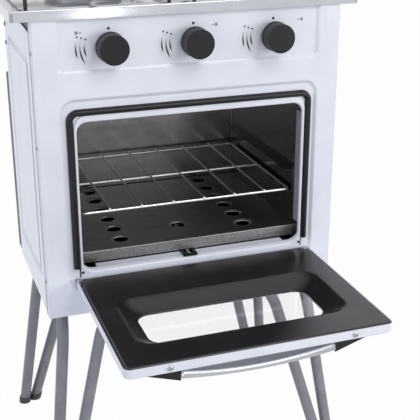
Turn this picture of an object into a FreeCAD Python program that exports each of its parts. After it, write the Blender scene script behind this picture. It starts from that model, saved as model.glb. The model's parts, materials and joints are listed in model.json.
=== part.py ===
import FreeCAD, Part
import math
import operator
import os
from types import SimpleNamespace

import Sketcher

# Two-burner portable gas stove with an oven below, standing on four bent tubes.
# +X is the right-hand side seen from the front, +Y points to the back and +Z is up.
# Pieces are drawn from the front panel: y = 0 is its face and z = 0 its lower edge.
# The origin of the part is on the floor, in the middle of the plan with the door open.

SIZES = {
    # Cabinet of folded sheet
    "body_width": 450.0,
    "body_depth": 260.0,
    "body_height": 437.0,
    "sheet_wall": 1.0,
    "leg_height": 312.0,
    "front_flange": 18.0,
    "front_bend": 5.0,
    "control_margin": 31.0,
    "control_height": 79.5,
    "control_step": 3.0,
    "control_corner": 10.0,
    "oven_step_margin": 34.0,
    "oven_step_low": 38.0,
    "oven_step_drop": 113.5,
    "oven_step": 4.0,
    "oven_step_corner": 20.0,
    "opening_jamb": 20.7,
    "opening_sill": 30.6,
    "opening_head": 32.2,
    "opening_corner": 15.0,
    "collar_depth": 12.0,
    "collar_wall": 1.2,
    "sill_height": 7.0,
    "sill_round": 1.5,
    "field_front": 50.0,
    "field_rear_margin": 25.0,
    "field_low": 44.0,
    "field_top_margin": 58.0,
    "field_step": 3.0,
    "notch_front": 22.0,
    "notch_length": 80.0,
    "notch_height": 15.5,
    "notch_rear_height": 12.5,
    "notch_drop": 7.0,
    "base_level": 24.3,
    "base_edge": 12.0,
    "cover_depth": 45.0,
    "cover_rise": 17.7,
    "cover_inset": 3.0,
    "cover_tab": 18.0,
    # Cooktop
    "tray_width": 502.0,
    "tray_depth": 312.0,
    "tray_overhang": 2.0,
    "tray_rise": 10.7,
    "tray_lip": 14.2,
    "tray_rim": 16.0,
    "tray_corner": 4.0,
    "tray_edge": 3.0,
    "burner_x": 120.0,
    "tray_hole": 34.0,
    "cup_radius": 30.0,
    "cup_wall": 3.0,
    "cup_depth": 60.0,
    "cup_flange": 8.0,
    "cup_flange_wall": 2.0,
    "crown_height": 11.0,
    "crown_port_rise": 6.6,
    "mixer_radius": 9.0,
    "mixer_wall": 2.0,
    "mixer_gap": 3.0,
    "cap_radius": 34.0,
    "cap_height": 7.0,
    "cap_chamfer": 3.5,
    "bowl_radius": 54.0,
    "bowl_flare": 4.0,
    "bowl_height": 6.0,
    "trivet_half": 104.0,
    "trivet_rod": 2.75,
    "trivet_rise": 23.0,
    "prong_reach": 64.0,
    "prong_wall": 5.0,
    "prong_rise": 7.0,
    # Oven
    "liner_back_gap": 6.0,
    "floor_front": 25.0,
    "floor_back_gap": 3.0,
    "floor_rise": 19.0,
    "floor_hole": 13.0,
    "floor_row_x": 100.0,
    "floor_hole_first": 60.0,
    "floor_hole_margin": 18.5,
    "floor_centre_hole": 87.0,
    "rack_rise": 59.4,
    "rack_side_gap": 6.3,
    "rack_front": 30.0,
    "rack_back_gap": 13.0,
    "rack_wire": 2.5,
    "rack_bar": 2.0,
    "rack_pitch": 49.0,
    "rail_ledge": 13.0,
    "rail_front": 31.0,
    "rail_back_gap": 9.0,
    "rail_step": 33.5,
    "rail_margin": 5.0,
    "gasket_margin": 12.2,
    "gasket_head": 17.7,
    "gasket_rise": 5.4,
    "gasket_band": 8.0,
    "gasket_corner": 14.0,
    "gasket_thick": 2.5,
    "oven_burner_radius": 7.0,
    "oven_burner_wall": 1.5,
    "oven_burner_gap": 3.0,
    "oven_burner_tail": 12.0,
    "oven_mixer_inset": 10.0,
    "oven_mixer_gap": 6.0,
    "oven_port_pitch": 14.0,
    "port_radius": 1.5,
    "clip_x": -6.0,
    "clip_half": 11.0,
    "clip_front": 3.0,
    "clip_rear": 15.0,
    "clip_height": 4.0,
    "clip_wall": 1.0,
    "clip_slot": 4.0,
    # Gas supply and controls
    "knob_drop": 42.5,
    "knob_radius": 21.0,
    "knob_height": 25.0,
    "knob_edge": 1.5,
    "knob_gap": 8.0,
    "knob_socket": 15.0,
    "stem_radius": 3.0,
    "stem_length": 52.0,
    "panel_hole": 6.0,
    "tap_front": 14.0,
    "tap_neck": 9.5,
    "tap_block_front": 22.0,
    "tap_block_rear": 54.0,
    "tap_half": 11.0,
    "plug_radius": 7.0,
    "tap_end_wall": 7.0,
    "plug_end_wall": 7.0,
    "running_gap": 0.05,
    "pipe_drop": 22.5,
    "pipe_y": 36.0,
    "pipe_radius": 7.0,
    "pipe_wall": 1.5,
    "pipe_overrun": 30.0,
    "pipe_bend": 22.0,
    "inlet_margin": 29.0,
    "saddle_half": 8.0,
    "nozzle_collar": 9.5,
    "nozzle_collar_length": 9.0,
    "nozzle_radius": 5.0,
    "nozzle_length": 30.0,
    "nozzle_bore": 2.5,
    "jet_radius": 4.0,
    "jet_length": 9.0,
    "oven_pipe_radius": 4.0,
    "oven_pipe_inset": 5.0,
    "oven_pipe_drop": 62.5,
    "oven_pipe_margin": 27.0,
    "oven_pipe_rise": 14.7,
    "oven_pipe_bend": 16.0,
    "holder_radius": 6.0,
    "holder_half": 5.0,
    "oven_jet_radius": 3.0,
    # Door, drawn open
    "door_side_gap": 7.3,
    "door_head_gap": 3.35,
    "door_drop": 8.25,
    "door_thick": 20.85,
    "door_rim": 13.35,
    "door_slope": 18.0,
    "door_far_slope": 3.0,
    "door_back_gap": 1.5,
    "door_corner": 10.0,
    "door_pan_corner": 6.0,
    "ear_rise": 7.0,
    "door_lining_gap": 0.4,
    "lining_skirt": 9.0,
    "window_side": 33.7,
    "window_far": 88.0,
    "window_near_margin": 56.4,
    "window_corner": 26.0,
    "window_slope": 24.0,
    "pane_corner": 10.0,
    "glass_wall": 3.0,
    "glass_lap": 8.0,
    "hinge_y": 8.0,
    "hinge_drop": 9.2,
    "hinge_margin": 5.7,
    "hinge_wall": 2.0,
    "hinge_eye": 5.0,
    "hinge_foot": 6.0,
    "hinge_foot_half": 6.0,
    "hinge_slot": 5.4,
    "pin_radius": 3.0,
    "pin_length": 10.0,
    "ear_wall": 2.5,
    "ear_length": 15.0,
    "handle_inset": 27.0,
    "handle_depth": 20.0,
    "cap_length": 44.5,
    "cap_root": 107.0,
    "cap_drop": 15.0,
    "cap_tip_drop": 1.5,
    "bar_thick": 11.0,
    "bar_end_drop": 9.0,
    "bar_sag": 7.0,
    # Stand of bent tube
    "tube_radius": 9.0,
    "tube_wall": 1.2,
    "tube_bend": 100.0,
    "stand_forward": 15.0,
    "front_splay_x": 87.9,
    "front_top_half": 127.8,
    "front_splay_y": 53.0,
    "front_run_inset": 44.0,
    "foot_pair_x": 19.7,
    "side_run_inset": 26.6,
    "foot_pair_y": 6.0,
    "side_run_end": 47.5,
    "foot_height": 11.0,
    "foot_floor": 4.0,
    "foot_wall": 1.5,
    # Fasteners and fits
    "bolt_radius": 3.0,
    "bolt_head": 5.5,
    "bolt_head_height": 4.0,
    "front_bolt_spread": 40.0,
    "side_bolt_spread": 10.0,
    "screw_radius": 1.8,
    "screw_head": 3.6,
    "screw_head_height": 1.6,
    "screw_length": 8.0,
    "screw_y": 11.0,
    "side_screw_drop": 48.0,
    "side_screw_middle": 258.0,
    "side_screw_low": 56.0,
    "cover_screw_drop": 47.0,
    "cover_screw_low": 60.0,
    "door_screw_x": 126.0,
    "seat_gap": 0.3,
    "hole_gap": 0.1,
}

RACK_BARS = 6
FLOOR_HOLES = 6
OVEN_PORTS = 14
CROWN_PORTS = 24
SAME_PLACE = 1e-6

OPERATIONS = {"+": operator.add, "-": operator.sub, "*": operator.mul, "/": operator.truediv}


class Formula:
    """A length written once: its text binds a property, its value serves where a number is needed."""

    def __init__(self, text, value):
        self.text = text
        self.value = value

    def __add__(self, other):
        return combine(self, "+", other)

    def __radd__(self, other):
        return combine(other, "+", self)

    def __sub__(self, other):
        return combine(self, "-", other)

    def __rsub__(self, other):
        return combine(other, "-", self)

    def __mul__(self, other):
        return combine(self, "*", other)

    def __rmul__(self, other):
        return combine(other, "*", self)

    def __truediv__(self, other):
        return combine(self, "/", other)

    def __neg__(self):
        return combine(0, "-", self)


def formula(item):
    if isinstance(item, Formula):
        return item
    return Formula("({})".format(float(item)), float(item))


def combine(left, sign, right):
    first = formula(left)
    second = formula(right)
    text = "({} {} {})".format(first.text, sign, second.text)
    return Formula(text, OPERATIONS[sign](first.value, second.value))


doc = FreeCAD.newDocument("gas_stove")
nodes = []
places = {}


def fill_sheet():
    """Write every driving size to a named cell and hand back the cells as formulas."""
    sheet = doc.addObject("Spreadsheet::Sheet", "Sizes")
    for row, (name, value) in enumerate(SIZES.items(), start=1):
        sheet.set("A{}".format(row), name)
        sheet.set("B{}".format(row), str(value))
        sheet.setAlias("B{}".format(row), name)
    doc.recompute()
    cells = {name: Formula("Sizes." + name, float(sheet.get(name))) for name in SIZES}
    return SimpleNamespace(**cells)


S = fill_sheet()

# Sizes that follow from the driving ones: the cabinet
half_width = S.body_width / 2
inner_half = half_width - S.sheet_wall
base_top = S.base_level + S.sheet_wall
S.control_half = half_width - S.control_margin
S.control_low = S.body_height - S.control_height
S.oven_step_half = half_width - S.oven_step_margin
S.oven_step_high = S.body_height - S.oven_step_drop
S.opening_half = S.oven_step_half - S.opening_jamb
S.opening_low = S.oven_step_low + S.opening_sill
S.opening_high = S.oven_step_high - S.opening_head
S.field_rear = S.body_depth - S.field_rear_margin
S.field_high = S.body_height - S.field_top_margin
S.notch_rear = S.notch_front + S.notch_length
S.notch_high = S.body_height - S.notch_drop
S.notch_low = S.notch_high - S.notch_height
S.cover_high = S.opening_high + S.cover_rise
S.cover_half = half_width - S.cover_inset
S.side_screw_top = S.body_height - S.side_screw_drop
S.cover_screw_top = S.cover_high - S.cover_screw_drop

# Gas supply and controls
S.knob_x = S.burner_x
S.knob_level = S.body_height - S.knob_drop
S.plug_rear = S.tap_block_rear - S.tap_end_wall
S.plug_socket_rear = S.plug_rear - S.plug_end_wall
S.pipe_level = S.knob_level - S.pipe_drop
S.pipe_left = S.knob_x + S.pipe_overrun
S.inlet_x = half_width - S.inlet_margin
S.oven_pipe_y = S.tap_block_rear - S.oven_pipe_inset
S.oven_pipe_level = S.knob_level - S.oven_pipe_drop
S.oven_pipe_x = half_width - S.oven_pipe_margin
S.oven_pipe_low = base_top + S.oven_pipe_rise

# Cooktop
tray_floor = S.body_height + S.sheet_wall
tray_rear = S.tray_depth - S.tray_overhang
S.tray_high = S.body_height + S.tray_rise
S.burner_y = (tray_rear - S.tray_overhang) / 2
S.cup_low = tray_floor - S.cup_depth
S.mixer_front = S.tap_block_rear + S.jet_length + S.mixer_gap
S.trivet_level = tray_floor + S.trivet_rise
S.prong_high = S.trivet_level + S.prong_rise

# Oven
liner_half = S.opening_half + S.collar_wall + S.seat_gap
liner_low = S.opening_low - S.collar_wall - S.seat_gap
liner_high = S.opening_high + S.collar_wall + S.seat_gap
liner_front = S.oven_step + S.sheet_wall
S.liner_rear = S.body_depth + S.cover_depth - S.liner_back_gap
S.floor_rear = S.liner_rear - S.floor_back_gap
S.floor_level = S.opening_low + S.floor_rise
S.rack_level = S.floor_level + S.rack_rise
S.rack_half = S.opening_half - S.rack_side_gap
S.rack_rear = S.liner_rear - S.rack_back_gap
S.rail_rear = S.liner_rear - S.rail_back_gap
S.gasket_half = S.opening_half + S.gasket_margin
S.gasket_high = S.opening_high + S.gasket_head
S.gasket_low = S.opening_low + S.gasket_rise
S.oven_mixer_y = S.body_depth - S.oven_mixer_inset
S.oven_mixer_low = S.oven_pipe_low + S.oven_mixer_gap
S.oven_burner_front = S.floor_front + S.oven_burner_gap
S.oven_burner_rear = S.oven_mixer_y + S.oven_burner_tail

# Door
S.door_half = S.oven_step_half - S.door_side_gap
S.door_level = S.opening_low - S.door_drop
S.hinge_level = S.door_level - S.hinge_drop
S.hinge_x = S.door_half - S.hinge_margin
S.door_reach = S.oven_step_high - S.hinge_level + S.hinge_y - S.door_head_gap
S.window_half = S.door_half - S.window_side
S.window_near = S.door_reach - S.window_near_margin
S.handle_y = S.door_reach - S.handle_inset
S.cap_tip = S.cap_root + S.cap_length
door_outer = S.door_level - S.door_thick

# Stand
base_half = S.cover_half - S.sheet_wall
base_front = S.oven_step + 2 * S.sheet_wall
base_rear = S.body_depth + S.cover_depth - S.sheet_wall
base_reach = (base_rear - base_front) / 2
S.stand_centre = (base_front + base_rear) / 2 - S.stand_forward
S.run_level = S.base_level - S.tube_radius - S.seat_gap
S.front_top_reach = base_reach - S.front_run_inset
S.front_foot_reach = S.front_top_reach + S.front_splay_y
S.front_foot_half = S.front_top_half + S.front_splay_x
S.side_top_half = base_half - S.side_run_inset
S.side_top_reach = base_reach - S.side_run_end
S.side_foot_half = S.front_foot_half + S.foot_pair_x
S.side_foot_reach = S.front_foot_reach - S.foot_pair_y
floor_z = -S.leg_height
foot_radius = S.tube_radius + S.foot_wall
origin_y = (S.door_reach + S.screw_head_height - tray_rear) / 2


def bind(target, prop, value):
    target.setExpression(prop, formula(value).text)


def place(target, x=0, y=0, z=0):
    places[target.Name] = (formula(x), formula(y), formula(z))
    for axis, value in zip("xyz", places[target.Name]):
        bind(target, "Placement.Base." + axis, value)
    return target


def node(label, piece):
    """Name a finished piece and set it in the frame of the whole part."""
    x, y, z = places.get(piece.Name, (formula(0), formula(0), formula(0)))
    place(piece, x, y + origin_y, z + S.leg_height)
    piece.Label = label
    nodes.append(piece)


def box(x, y, z):
    """A block between pairs of coordinates."""
    block = doc.addObject("Part::Box", "Block")
    for prop, span in zip(("Length", "Width", "Height"), (x, y, z)):
        bind(block, prop, formula(span[1]) - span[0])
    return place(block, x[0], y[0], z[0])


AXIS_TURNS = {
    "x": FreeCAD.Rotation(FreeCAD.Vector(0, 1, 0), 90),
    "y": FreeCAD.Rotation(FreeCAD.Vector(1, 0, 0), -90),
    "z": FreeCAD.Rotation(),
}


def rod(axis, centre, radius, span):
    """A cylinder along one axis; centre holds its other two coordinates, in x, y, z order."""
    piece = doc.addObject("Part::Cylinder", "Rod")
    bind(piece, "Radius", radius)
    bind(piece, "Height", formula(span[1]) - span[0])
    piece.Placement = FreeCAD.Placement(FreeCAD.Vector(), AXIS_TURNS[axis])
    spot = list(centre)
    spot.insert("xyz".index(axis), span[0])
    return place(piece, *spot)


def leaning_rod(start, towards, radius, length):
    """A cylinder from a point towards another one."""
    piece = doc.addObject("Part::Cylinder", "LeaningRod")
    bind(piece, "Radius", radius)
    bind(piece, "Height", length)
    turn = FreeCAD.Rotation(FreeCAD.Vector(0, 0, 1), towards - start)
    piece.Placement = FreeCAD.Placement(start, turn)
    return piece


def join(*pieces):
    fused = doc.addObject("Part::MultiFuse", "Join")
    fused.Shapes = list(pieces)
    fused.Refine = True
    return fused


def group(*pieces):
    """Separate solids kept together as one node."""
    gathered = doc.addObject("Part::Compound", "Group")
    gathered.Links = list(pieces)
    return gathered


def cut(base, *tools):
    result = doc.addObject("Part::Cut", "Cut")
    result.Base = base
    result.Tool = tools[0] if len(tools) == 1 else join(*tools)
    return result


def common(base, tool):
    result = doc.addObject("Part::Common", "Common")
    result.Base = base
    result.Tool = tool
    return result


def rounded(piece, radius, axis, **at):
    """Round the straight edges along one axis, or those of them at given coordinates."""
    doc.recompute()
    chosen = []
    for number, edge in enumerate(piece.Shape.Edges, start=1):
        extent = {"x": edge.BoundBox.XLength, "y": edge.BoundBox.YLength, "z": edge.BoundBox.ZLength}
        middle = edge.BoundBox.Center
        along = all((extent[name] > SAME_PLACE) == (name == axis) for name in extent)
        if along and all(abs(getattr(middle, name) - formula(at[name]).value) < SAME_PLACE for name in at):
            chosen.append((number, radius.value, radius.value))
    result = doc.addObject("Part::Fillet", "Rounded")
    result.Base = piece
    result.Edges = chosen
    return result


def rounded_level(piece, radius, level):
    """Round every edge that lies flat at one height."""
    doc.recompute()
    height = formula(level).value
    result = doc.addObject("Part::Fillet", "RoundedLevel")
    result.Base = piece
    result.Edges = [
        (number, radius.value, radius.value)
        for number, edge in enumerate(piece.Shape.Edges, start=1)
        if max(abs(edge.BoundBox.ZMin - height), abs(edge.BoundBox.ZMax - height)) < SAME_PLACE
    ]
    return result


def turned(profile, x, y, z, axis="z"):
    """A turned piece: (radius, height) points spun about an axis through the given point."""
    body = doc.addObject("PartDesign::Body", "Turned")
    sketch = body.newObject("Sketcher::SketchObject", "Profile")
    plane = next(item for item in body.Origin.OriginFeatures if item.Role == "XZ_Plane")
    sketch.AttachmentSupport = [(plane, "")]
    sketch.MapMode = "FlatFace"
    corners = [FreeCAD.Vector(formula(r).value, formula(level).value, 0) for r, level in profile]
    count = len(corners)
    for index in range(count):
        sketch.addGeometry(Part.LineSegment(corners[index], corners[(index + 1) % count]), False)
    for index in range(count):
        sketch.addConstraint(Sketcher.Constraint("Coincident", index, 2, (index + 1) % count, 1))
    for index, point in enumerate(profile):
        for kind, value in zip(("DistanceX", "DistanceY"), point):
            number = sketch.addConstraint(Sketcher.Constraint(kind, index, 1, formula(value).value))
            bind(sketch, "Constraints[{}]".format(number), value)
    spin = body.newObject("PartDesign::Revolution", "Spin")
    spin.Profile = sketch
    spin.ReferenceAxis = (sketch, ["V_Axis"])
    spin.Angle = 360
    body.Placement = FreeCAD.Placement(FreeCAD.Vector(), AXIS_TURNS[axis])
    return place(body, x, y, z)


def bent_path(points, bend):
    """Straight runs joined by tangent arcs of one radius."""
    edges = []
    start = points[0]
    for before, corner, after in zip(points, points[1:], points[2:]):
        inward = (before - corner).normalize()
        outward = (after - corner).normalize()
        half_angle = inward.getAngle(outward) / 2
        reach = bend / math.tan(half_angle)
        bisector = (inward + outward).normalize()
        middle = corner + bisector * (bend / math.sin(half_angle) - bend)
        entry = corner + inward * reach
        leave = corner + outward * reach
        edges.append(Part.LineSegment(start, entry).toShape())
        edges.append(Part.Arc(entry, middle, leave).toShape())
        start = leave
    edges.append(Part.LineSegment(start, points[-1]).toShape())
    path = doc.addObject("Part::Feature", "Path")
    path.Shape = Part.Wire(edges)
    return path


def swept(path, radius):
    """A round bar along a path."""
    first = path.Shape.Edges[0]
    circle = doc.addObject("Part::Circle", "Section")
    bind(circle, "Radius", radius)
    start = first.valueAt(first.FirstParameter)
    turn = FreeCAD.Rotation(FreeCAD.Vector(0, 0, 1), first.tangentAt(first.FirstParameter))
    circle.Placement = FreeCAD.Placement(start, turn)
    sweep = doc.addObject("Part::Sweep", "Sweep")
    sweep.Sections = [circle]
    sweep.Spine = (path, ["Edge{}".format(number + 1) for number in range(len(path.Shape.Edges))])
    sweep.Solid = True
    return sweep


def pipe(points, bend, radius, wall):
    """A bent tube with its bore."""
    path = bent_path(points, bend.value)
    return cut(swept(path, radius), swept(path, radius - wall))


def spot(x, y, z):
    return FreeCAD.Vector(formula(x).value, formula(y).value, formula(z).value)


def rounded_outline(half, y_low, y_high, z, corner):
    """A flat outline with round corners, symmetrical about the middle of the stove."""
    r = corner.value
    x = half.value - r
    low = y_low.value + r
    high = y_high.value - r
    upward = FreeCAD.Vector(0, 0, 1)
    arcs = []
    for index, (cx, cy) in enumerate(((x, low), (x, high), (-x, high), (-x, low))):
        circle = Part.Circle(FreeCAD.Vector(cx, cy, z.value), upward, r)
        start = math.pi / 2 * (index - 1)
        arcs.append(Part.ArcOfCircle(circle, start, start + math.pi / 2))
    edges = []
    for arc, following in zip(arcs, arcs[1:] + arcs[:1]):
        edges.append(arc.toShape())
        edges.append(Part.LineSegment(arc.EndPoint, following.StartPoint).toShape())
    outline = doc.addObject("Part::Feature", "Outline")
    outline.Shape = Part.Wire(edges)
    return outline


def funnel(top, bottom):
    """A solid between two outlines at different levels."""
    loft = doc.addObject("Part::Loft", "Funnel")
    loft.Sections = [bottom, top]
    loft.Solid = True
    loft.Ruled = True
    return loft


def rounded_slab(x, y, z, corner, axis):
    return rounded(box(x, y, z), corner, axis)


def mirrored(value):
    return (-value, value)


def ordered(sign, outer, inner):
    """A span on the left or right side, low end first."""
    return (inner, outer) if sign > 0 else (-outer, -inner)


# Cabinet


def side_screws():
    """Face, depth and levels of the screws that hold the side panels to the front panel."""
    return half_width, S.screw_y, [S.side_screw_top, S.side_screw_middle, S.side_screw_low]


def cover_screws():
    """Face, depth and levels of the screws that hold the rear cover to the rear panel."""
    return S.cover_half, S.body_depth + S.cover_tab / 2, [S.cover_screw_top, S.cover_screw_low]


def screw_holes(face, y, levels):
    span = (face + S.sheet_wall, face - S.screw_length)
    radius = S.screw_radius + S.hole_gap
    return [rod("x", (y, level), radius, ordered(sign, *span)) for level in levels for sign in (-1, 1)]


def cross_slab(half, low, high, depth, corner):
    """An upright slab with round corners, as a press tool would leave it in the front panel."""
    return rounded_slab(mirrored(half), depth, (low, high), corner, "y")


def build_front_panel():
    wall = S.sheet_wall
    over = S.tray_lip
    rear = S.front_flange
    outer = rounded(box(mirrored(half_width), (0, rear), (0, S.body_height)), S.front_bend, "z", y=0)
    inside = box(mirrored(inner_half), (wall, rear + wall), (-wall, S.body_height + wall))
    hollow = rounded(inside, S.front_bend - wall, "z", y=wall)
    shell = cut(outer, hollow)
    control_tool = cross_slab(
        S.control_half, S.control_low, S.body_height + over, (-wall, S.control_step), S.control_corner
    )
    control_back = box(
        mirrored(S.control_half + wall),
        (0, S.control_step + wall),
        (S.control_low - wall, S.body_height),
    )
    oven_tool = cross_slab(
        S.oven_step_half, S.oven_step_low, S.oven_step_high, (-wall, S.oven_step), S.oven_step_corner
    )
    oven_back = cross_slab(
        S.oven_step_half + wall,
        S.oven_step_low - wall,
        S.oven_step_high + wall,
        (0, S.oven_step + wall),
        S.oven_step_corner + wall,
    )
    collar = cross_slab(
        S.opening_half + S.collar_wall,
        S.opening_low - S.collar_wall,
        S.opening_high + S.collar_wall,
        (S.oven_step, S.oven_step + S.collar_depth),
        S.opening_corner + S.collar_wall,
    )
    sill = box(
        mirrored(S.opening_half - S.opening_corner),
        (S.oven_step - S.gasket_thick, S.oven_step + wall),
        (S.opening_low - S.sill_height, S.opening_low),
    )
    sill_bead = rounded(sill, S.sill_round, "x", y=S.oven_step - S.gasket_thick)
    opening = cross_slab(
        S.opening_half,
        S.opening_low,
        S.opening_high,
        (S.oven_step - S.gasket_thick - wall, S.oven_step + S.collar_depth + wall),
        S.opening_corner,
    )
    holes = [
        rod("y", (x, S.knob_level), S.panel_hole, (0, S.control_step + 2 * wall))
        for x in (-S.knob_x, 0, S.knob_x)
    ]
    pressed = cut(join(shell, control_back, oven_back), control_tool, oven_tool)
    node("front_panel", cut(join(pressed, collar, sill_bead), opening, *holes, *screw_holes(*side_screws())))


def build_side_panels():
    wall = S.sheet_wall
    for label, sign in (("left_side_panel", -1), ("right_side_panel", 1)):
        sheet = box(
            ordered(sign, inner_half, inner_half - wall), (S.front_bend, S.body_depth), (0, S.body_height)
        )
        backing = box(
            ordered(sign, inner_half, inner_half - wall - S.field_step),
            (S.field_front - wall, S.field_rear + wall),
            (S.field_low - wall, S.field_high + wall),
        )
        pressing = box(
            ordered(sign, inner_half + wall, inner_half - S.field_step),
            (S.field_front, S.field_rear),
            (S.field_low, S.field_high),
        )
        notch = doc.addObject("Part::Wedge", "Notch")
        span = ordered(sign, half_width, inner_half - 2 * wall)
        limits = {
            "Xmin": span[0],
            "Xmax": span[1],
            "X2min": span[0],
            "X2max": span[1],
            "Ymin": S.notch_front,
            "Ymax": S.notch_rear,
            "Zmin": S.notch_low,
            "Zmax": S.notch_high,
            "Z2min": S.notch_high - S.notch_rear_height,
            "Z2max": S.notch_high,
        }
        for prop, value in limits.items():
            bind(notch, prop, value)
        node(label, cut(join(sheet, backing), pressing, notch, *screw_holes(*side_screws())))


def build_back_and_base():
    wall = S.sheet_wall
    half = inner_half - wall
    back = box(mirrored(half), (S.body_depth - wall, S.body_depth), (base_top, S.body_height))
    tabs = [
        box(
            ordered(sign, S.cover_half - wall, S.cover_half - 2 * wall),
            (S.body_depth - wall, S.body_depth + S.cover_tab),
            (base_top, S.cover_high - 2 * wall),
        )
        for sign in (-1, 1)
    ]
    liner_hole = box(
        mirrored(liner_half + wall + S.seat_gap),
        (S.body_depth - 2 * wall, S.body_depth + wall),
        (liner_low - wall - S.seat_gap, liner_high + wall + S.seat_gap),
    )
    inlet_hole = rod(
        "y",
        (S.inlet_x, S.pipe_level),
        S.pipe_radius + S.seat_gap,
        (S.body_depth - 2 * wall, S.body_depth + wall),
    )
    node("rear_panel", cut(join(back, *tabs), liner_hole, inlet_hole, *screw_holes(*cover_screws())))

    cover_rear = S.body_depth + S.cover_depth
    cover = box(mirrored(S.cover_half), (S.body_depth, cover_rear), (0, S.cover_high))
    hollow = box(
        mirrored(S.cover_half - wall), (S.body_depth - wall, cover_rear - wall), (-wall, S.cover_high - wall)
    )
    node("rear_cover", cut(cover, hollow, *screw_holes(*cover_screws())))

    plate = box(mirrored(base_half), (base_front, base_rear), (S.base_level - S.base_edge, base_top))
    under = box(
        mirrored(base_half - wall),
        (base_front + wall, base_rear - wall),
        (S.base_level - S.base_edge - wall, S.base_level),
    )
    node("base_plate", cut(plate, under, *bolt_rods(S.bolt_radius + S.hole_gap)))


# Cooktop


def build_tray():
    wall = S.sheet_wall
    half = S.tray_width / 2
    low = S.tray_high - S.tray_lip
    plate = box(mirrored(half), (-S.tray_overhang, tray_rear), (low, S.tray_high))
    block = rounded(plate, S.tray_corner, "z")
    outer = rounded_level(block, S.tray_edge, S.tray_high)
    under = box(
        mirrored(half - wall), (wall - S.tray_overhang, tray_rear - wall), (low - wall, S.tray_high - wall)
    )
    core = rounded(under, S.tray_corner - wall, "z")
    hollow = rounded_level(core, S.tray_edge - wall, S.tray_high - wall)
    rim = S.tray_rim
    pan = box(
        mirrored(half - rim + wall),
        (rim - wall - S.tray_overhang, tray_rear - rim + wall),
        (tray_floor - wall, S.tray_high),
    )
    sink = box(
        mirrored(half - rim), (rim - S.tray_overhang, tray_rear - rim), (tray_floor, S.tray_high + wall)
    )
    holes = [
        rod("z", (x, S.burner_y), S.tray_hole, (tray_floor - 2 * wall, tray_floor + wall))
        for x in (-S.burner_x, S.burner_x)
    ]
    node("cooktop_tray", cut(join(cut(outer, hollow), pan), sink, *holes))


def build_burner(side, sign):
    x = sign * S.burner_x
    wall = S.cup_wall
    bowl_base = tray_floor
    seat = bowl_base + S.sheet_wall + S.seat_gap - S.cup_low
    brim = S.cup_radius + S.cup_flange
    shelf = seat + S.cup_flange_wall
    crown = shelf + S.crown_height
    inner = S.cup_radius - wall
    cup = turned(
        [
            (0, 0),
            (S.cup_radius, 0),
            (S.cup_radius, seat),
            (brim, seat),
            (brim, shelf),
            (S.cup_radius, shelf),
            (S.cup_radius, crown),
            (inner, crown),
            (inner, wall),
            (0, wall),
        ],
        x,
        S.burner_y,
        S.cup_low,
    )
    mixer = rod("y", (x, S.knob_level), S.mixer_radius, (S.mixer_front, S.burner_y - inner))
    bore = rod(
        "y",
        (x, S.knob_level),
        S.mixer_radius - S.mixer_wall,
        (S.mixer_front - wall, S.burner_y - inner + wall),
    )
    port_level = S.cup_low + shelf + S.crown_port_rise
    ports = []
    for index in range(CROWN_PORTS // 2):
        angle = math.pi * (index + 0.5) * 2 / CROWN_PORTS
        step = FreeCAD.Vector(math.cos(angle), math.sin(angle), 0) * brim.value
        middle = spot(x, S.burner_y, port_level)
        ports.append(leaning_rod(middle - step, middle + step, S.port_radius, 2 * brim))
    node("burner_cup_" + side, cut(join(cup, mixer), bore, *ports))

    cap = turned(
        [
            (0, 0),
            (S.cap_radius, 0),
            (S.cap_radius, S.cap_height - S.cap_chamfer),
            (S.cap_radius - S.cap_chamfer, S.cap_height),
            (0, S.cap_height),
        ],
        x,
        S.burner_y,
        S.cup_low + crown + S.seat_gap,
    )
    node("burner_cap_" + side, cap)

    hole = S.cup_radius + S.seat_gap
    bowl = turned(
        [
            (hole, 0),
            (S.bowl_radius, 0),
            (S.bowl_radius + S.bowl_flare, S.bowl_height),
            (S.bowl_radius + S.bowl_flare - S.sheet_wall, S.bowl_height),
            (S.bowl_radius - S.sheet_wall, S.sheet_wall),
            (hole, S.sheet_wall),
        ],
        x,
        S.burner_y,
        bowl_base,
    )
    node("drip_bowl_" + side, bowl)


def build_trivet(side, sign):
    x = sign * S.burner_x
    reach = S.trivet_half
    r = S.trivet_rod
    bars = []
    for edge in (-reach, reach):
        bars.append(rod("x", (S.burner_y + edge, S.trivet_level), r, (x - reach - r, x + reach + r)))
        bars.append(rod("y", (x + edge, S.trivet_level), r, (S.burner_y - reach, S.burner_y + reach)))
        for other in (-reach, reach):
            bars.append(rod("z", (x + edge, S.burner_y + other), r, (tray_floor, S.trivet_level)))
    half = S.prong_wall / 2
    tip = reach - S.prong_reach
    levels = (S.trivet_level, S.prong_high)
    for near, far in ((-reach, -tip), (tip, reach)):
        bars.append(box((x + near, x + far), (S.burner_y - half, S.burner_y + half), levels))
        bars.append(box((x - half, x + half), (S.burner_y + near, S.burner_y + far), levels))
    node("trivet_" + side, join(*bars))


# Oven


def build_liner():
    wall = S.sheet_wall
    outer = box(
        mirrored(liner_half + wall),
        (liner_front, S.liner_rear + wall),
        (liner_low - wall, liner_high + wall),
    )
    inside = box(mirrored(liner_half), (liner_front - wall, S.liner_rear), (liner_low, liner_high))
    mixer_hole = rod(
        "z", (0, S.oven_mixer_y), S.mixer_radius + S.seat_gap, (liner_low - 2 * wall, liner_low + wall)
    )
    node("oven_liner", cut(outer, inside, mixer_hole))


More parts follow.
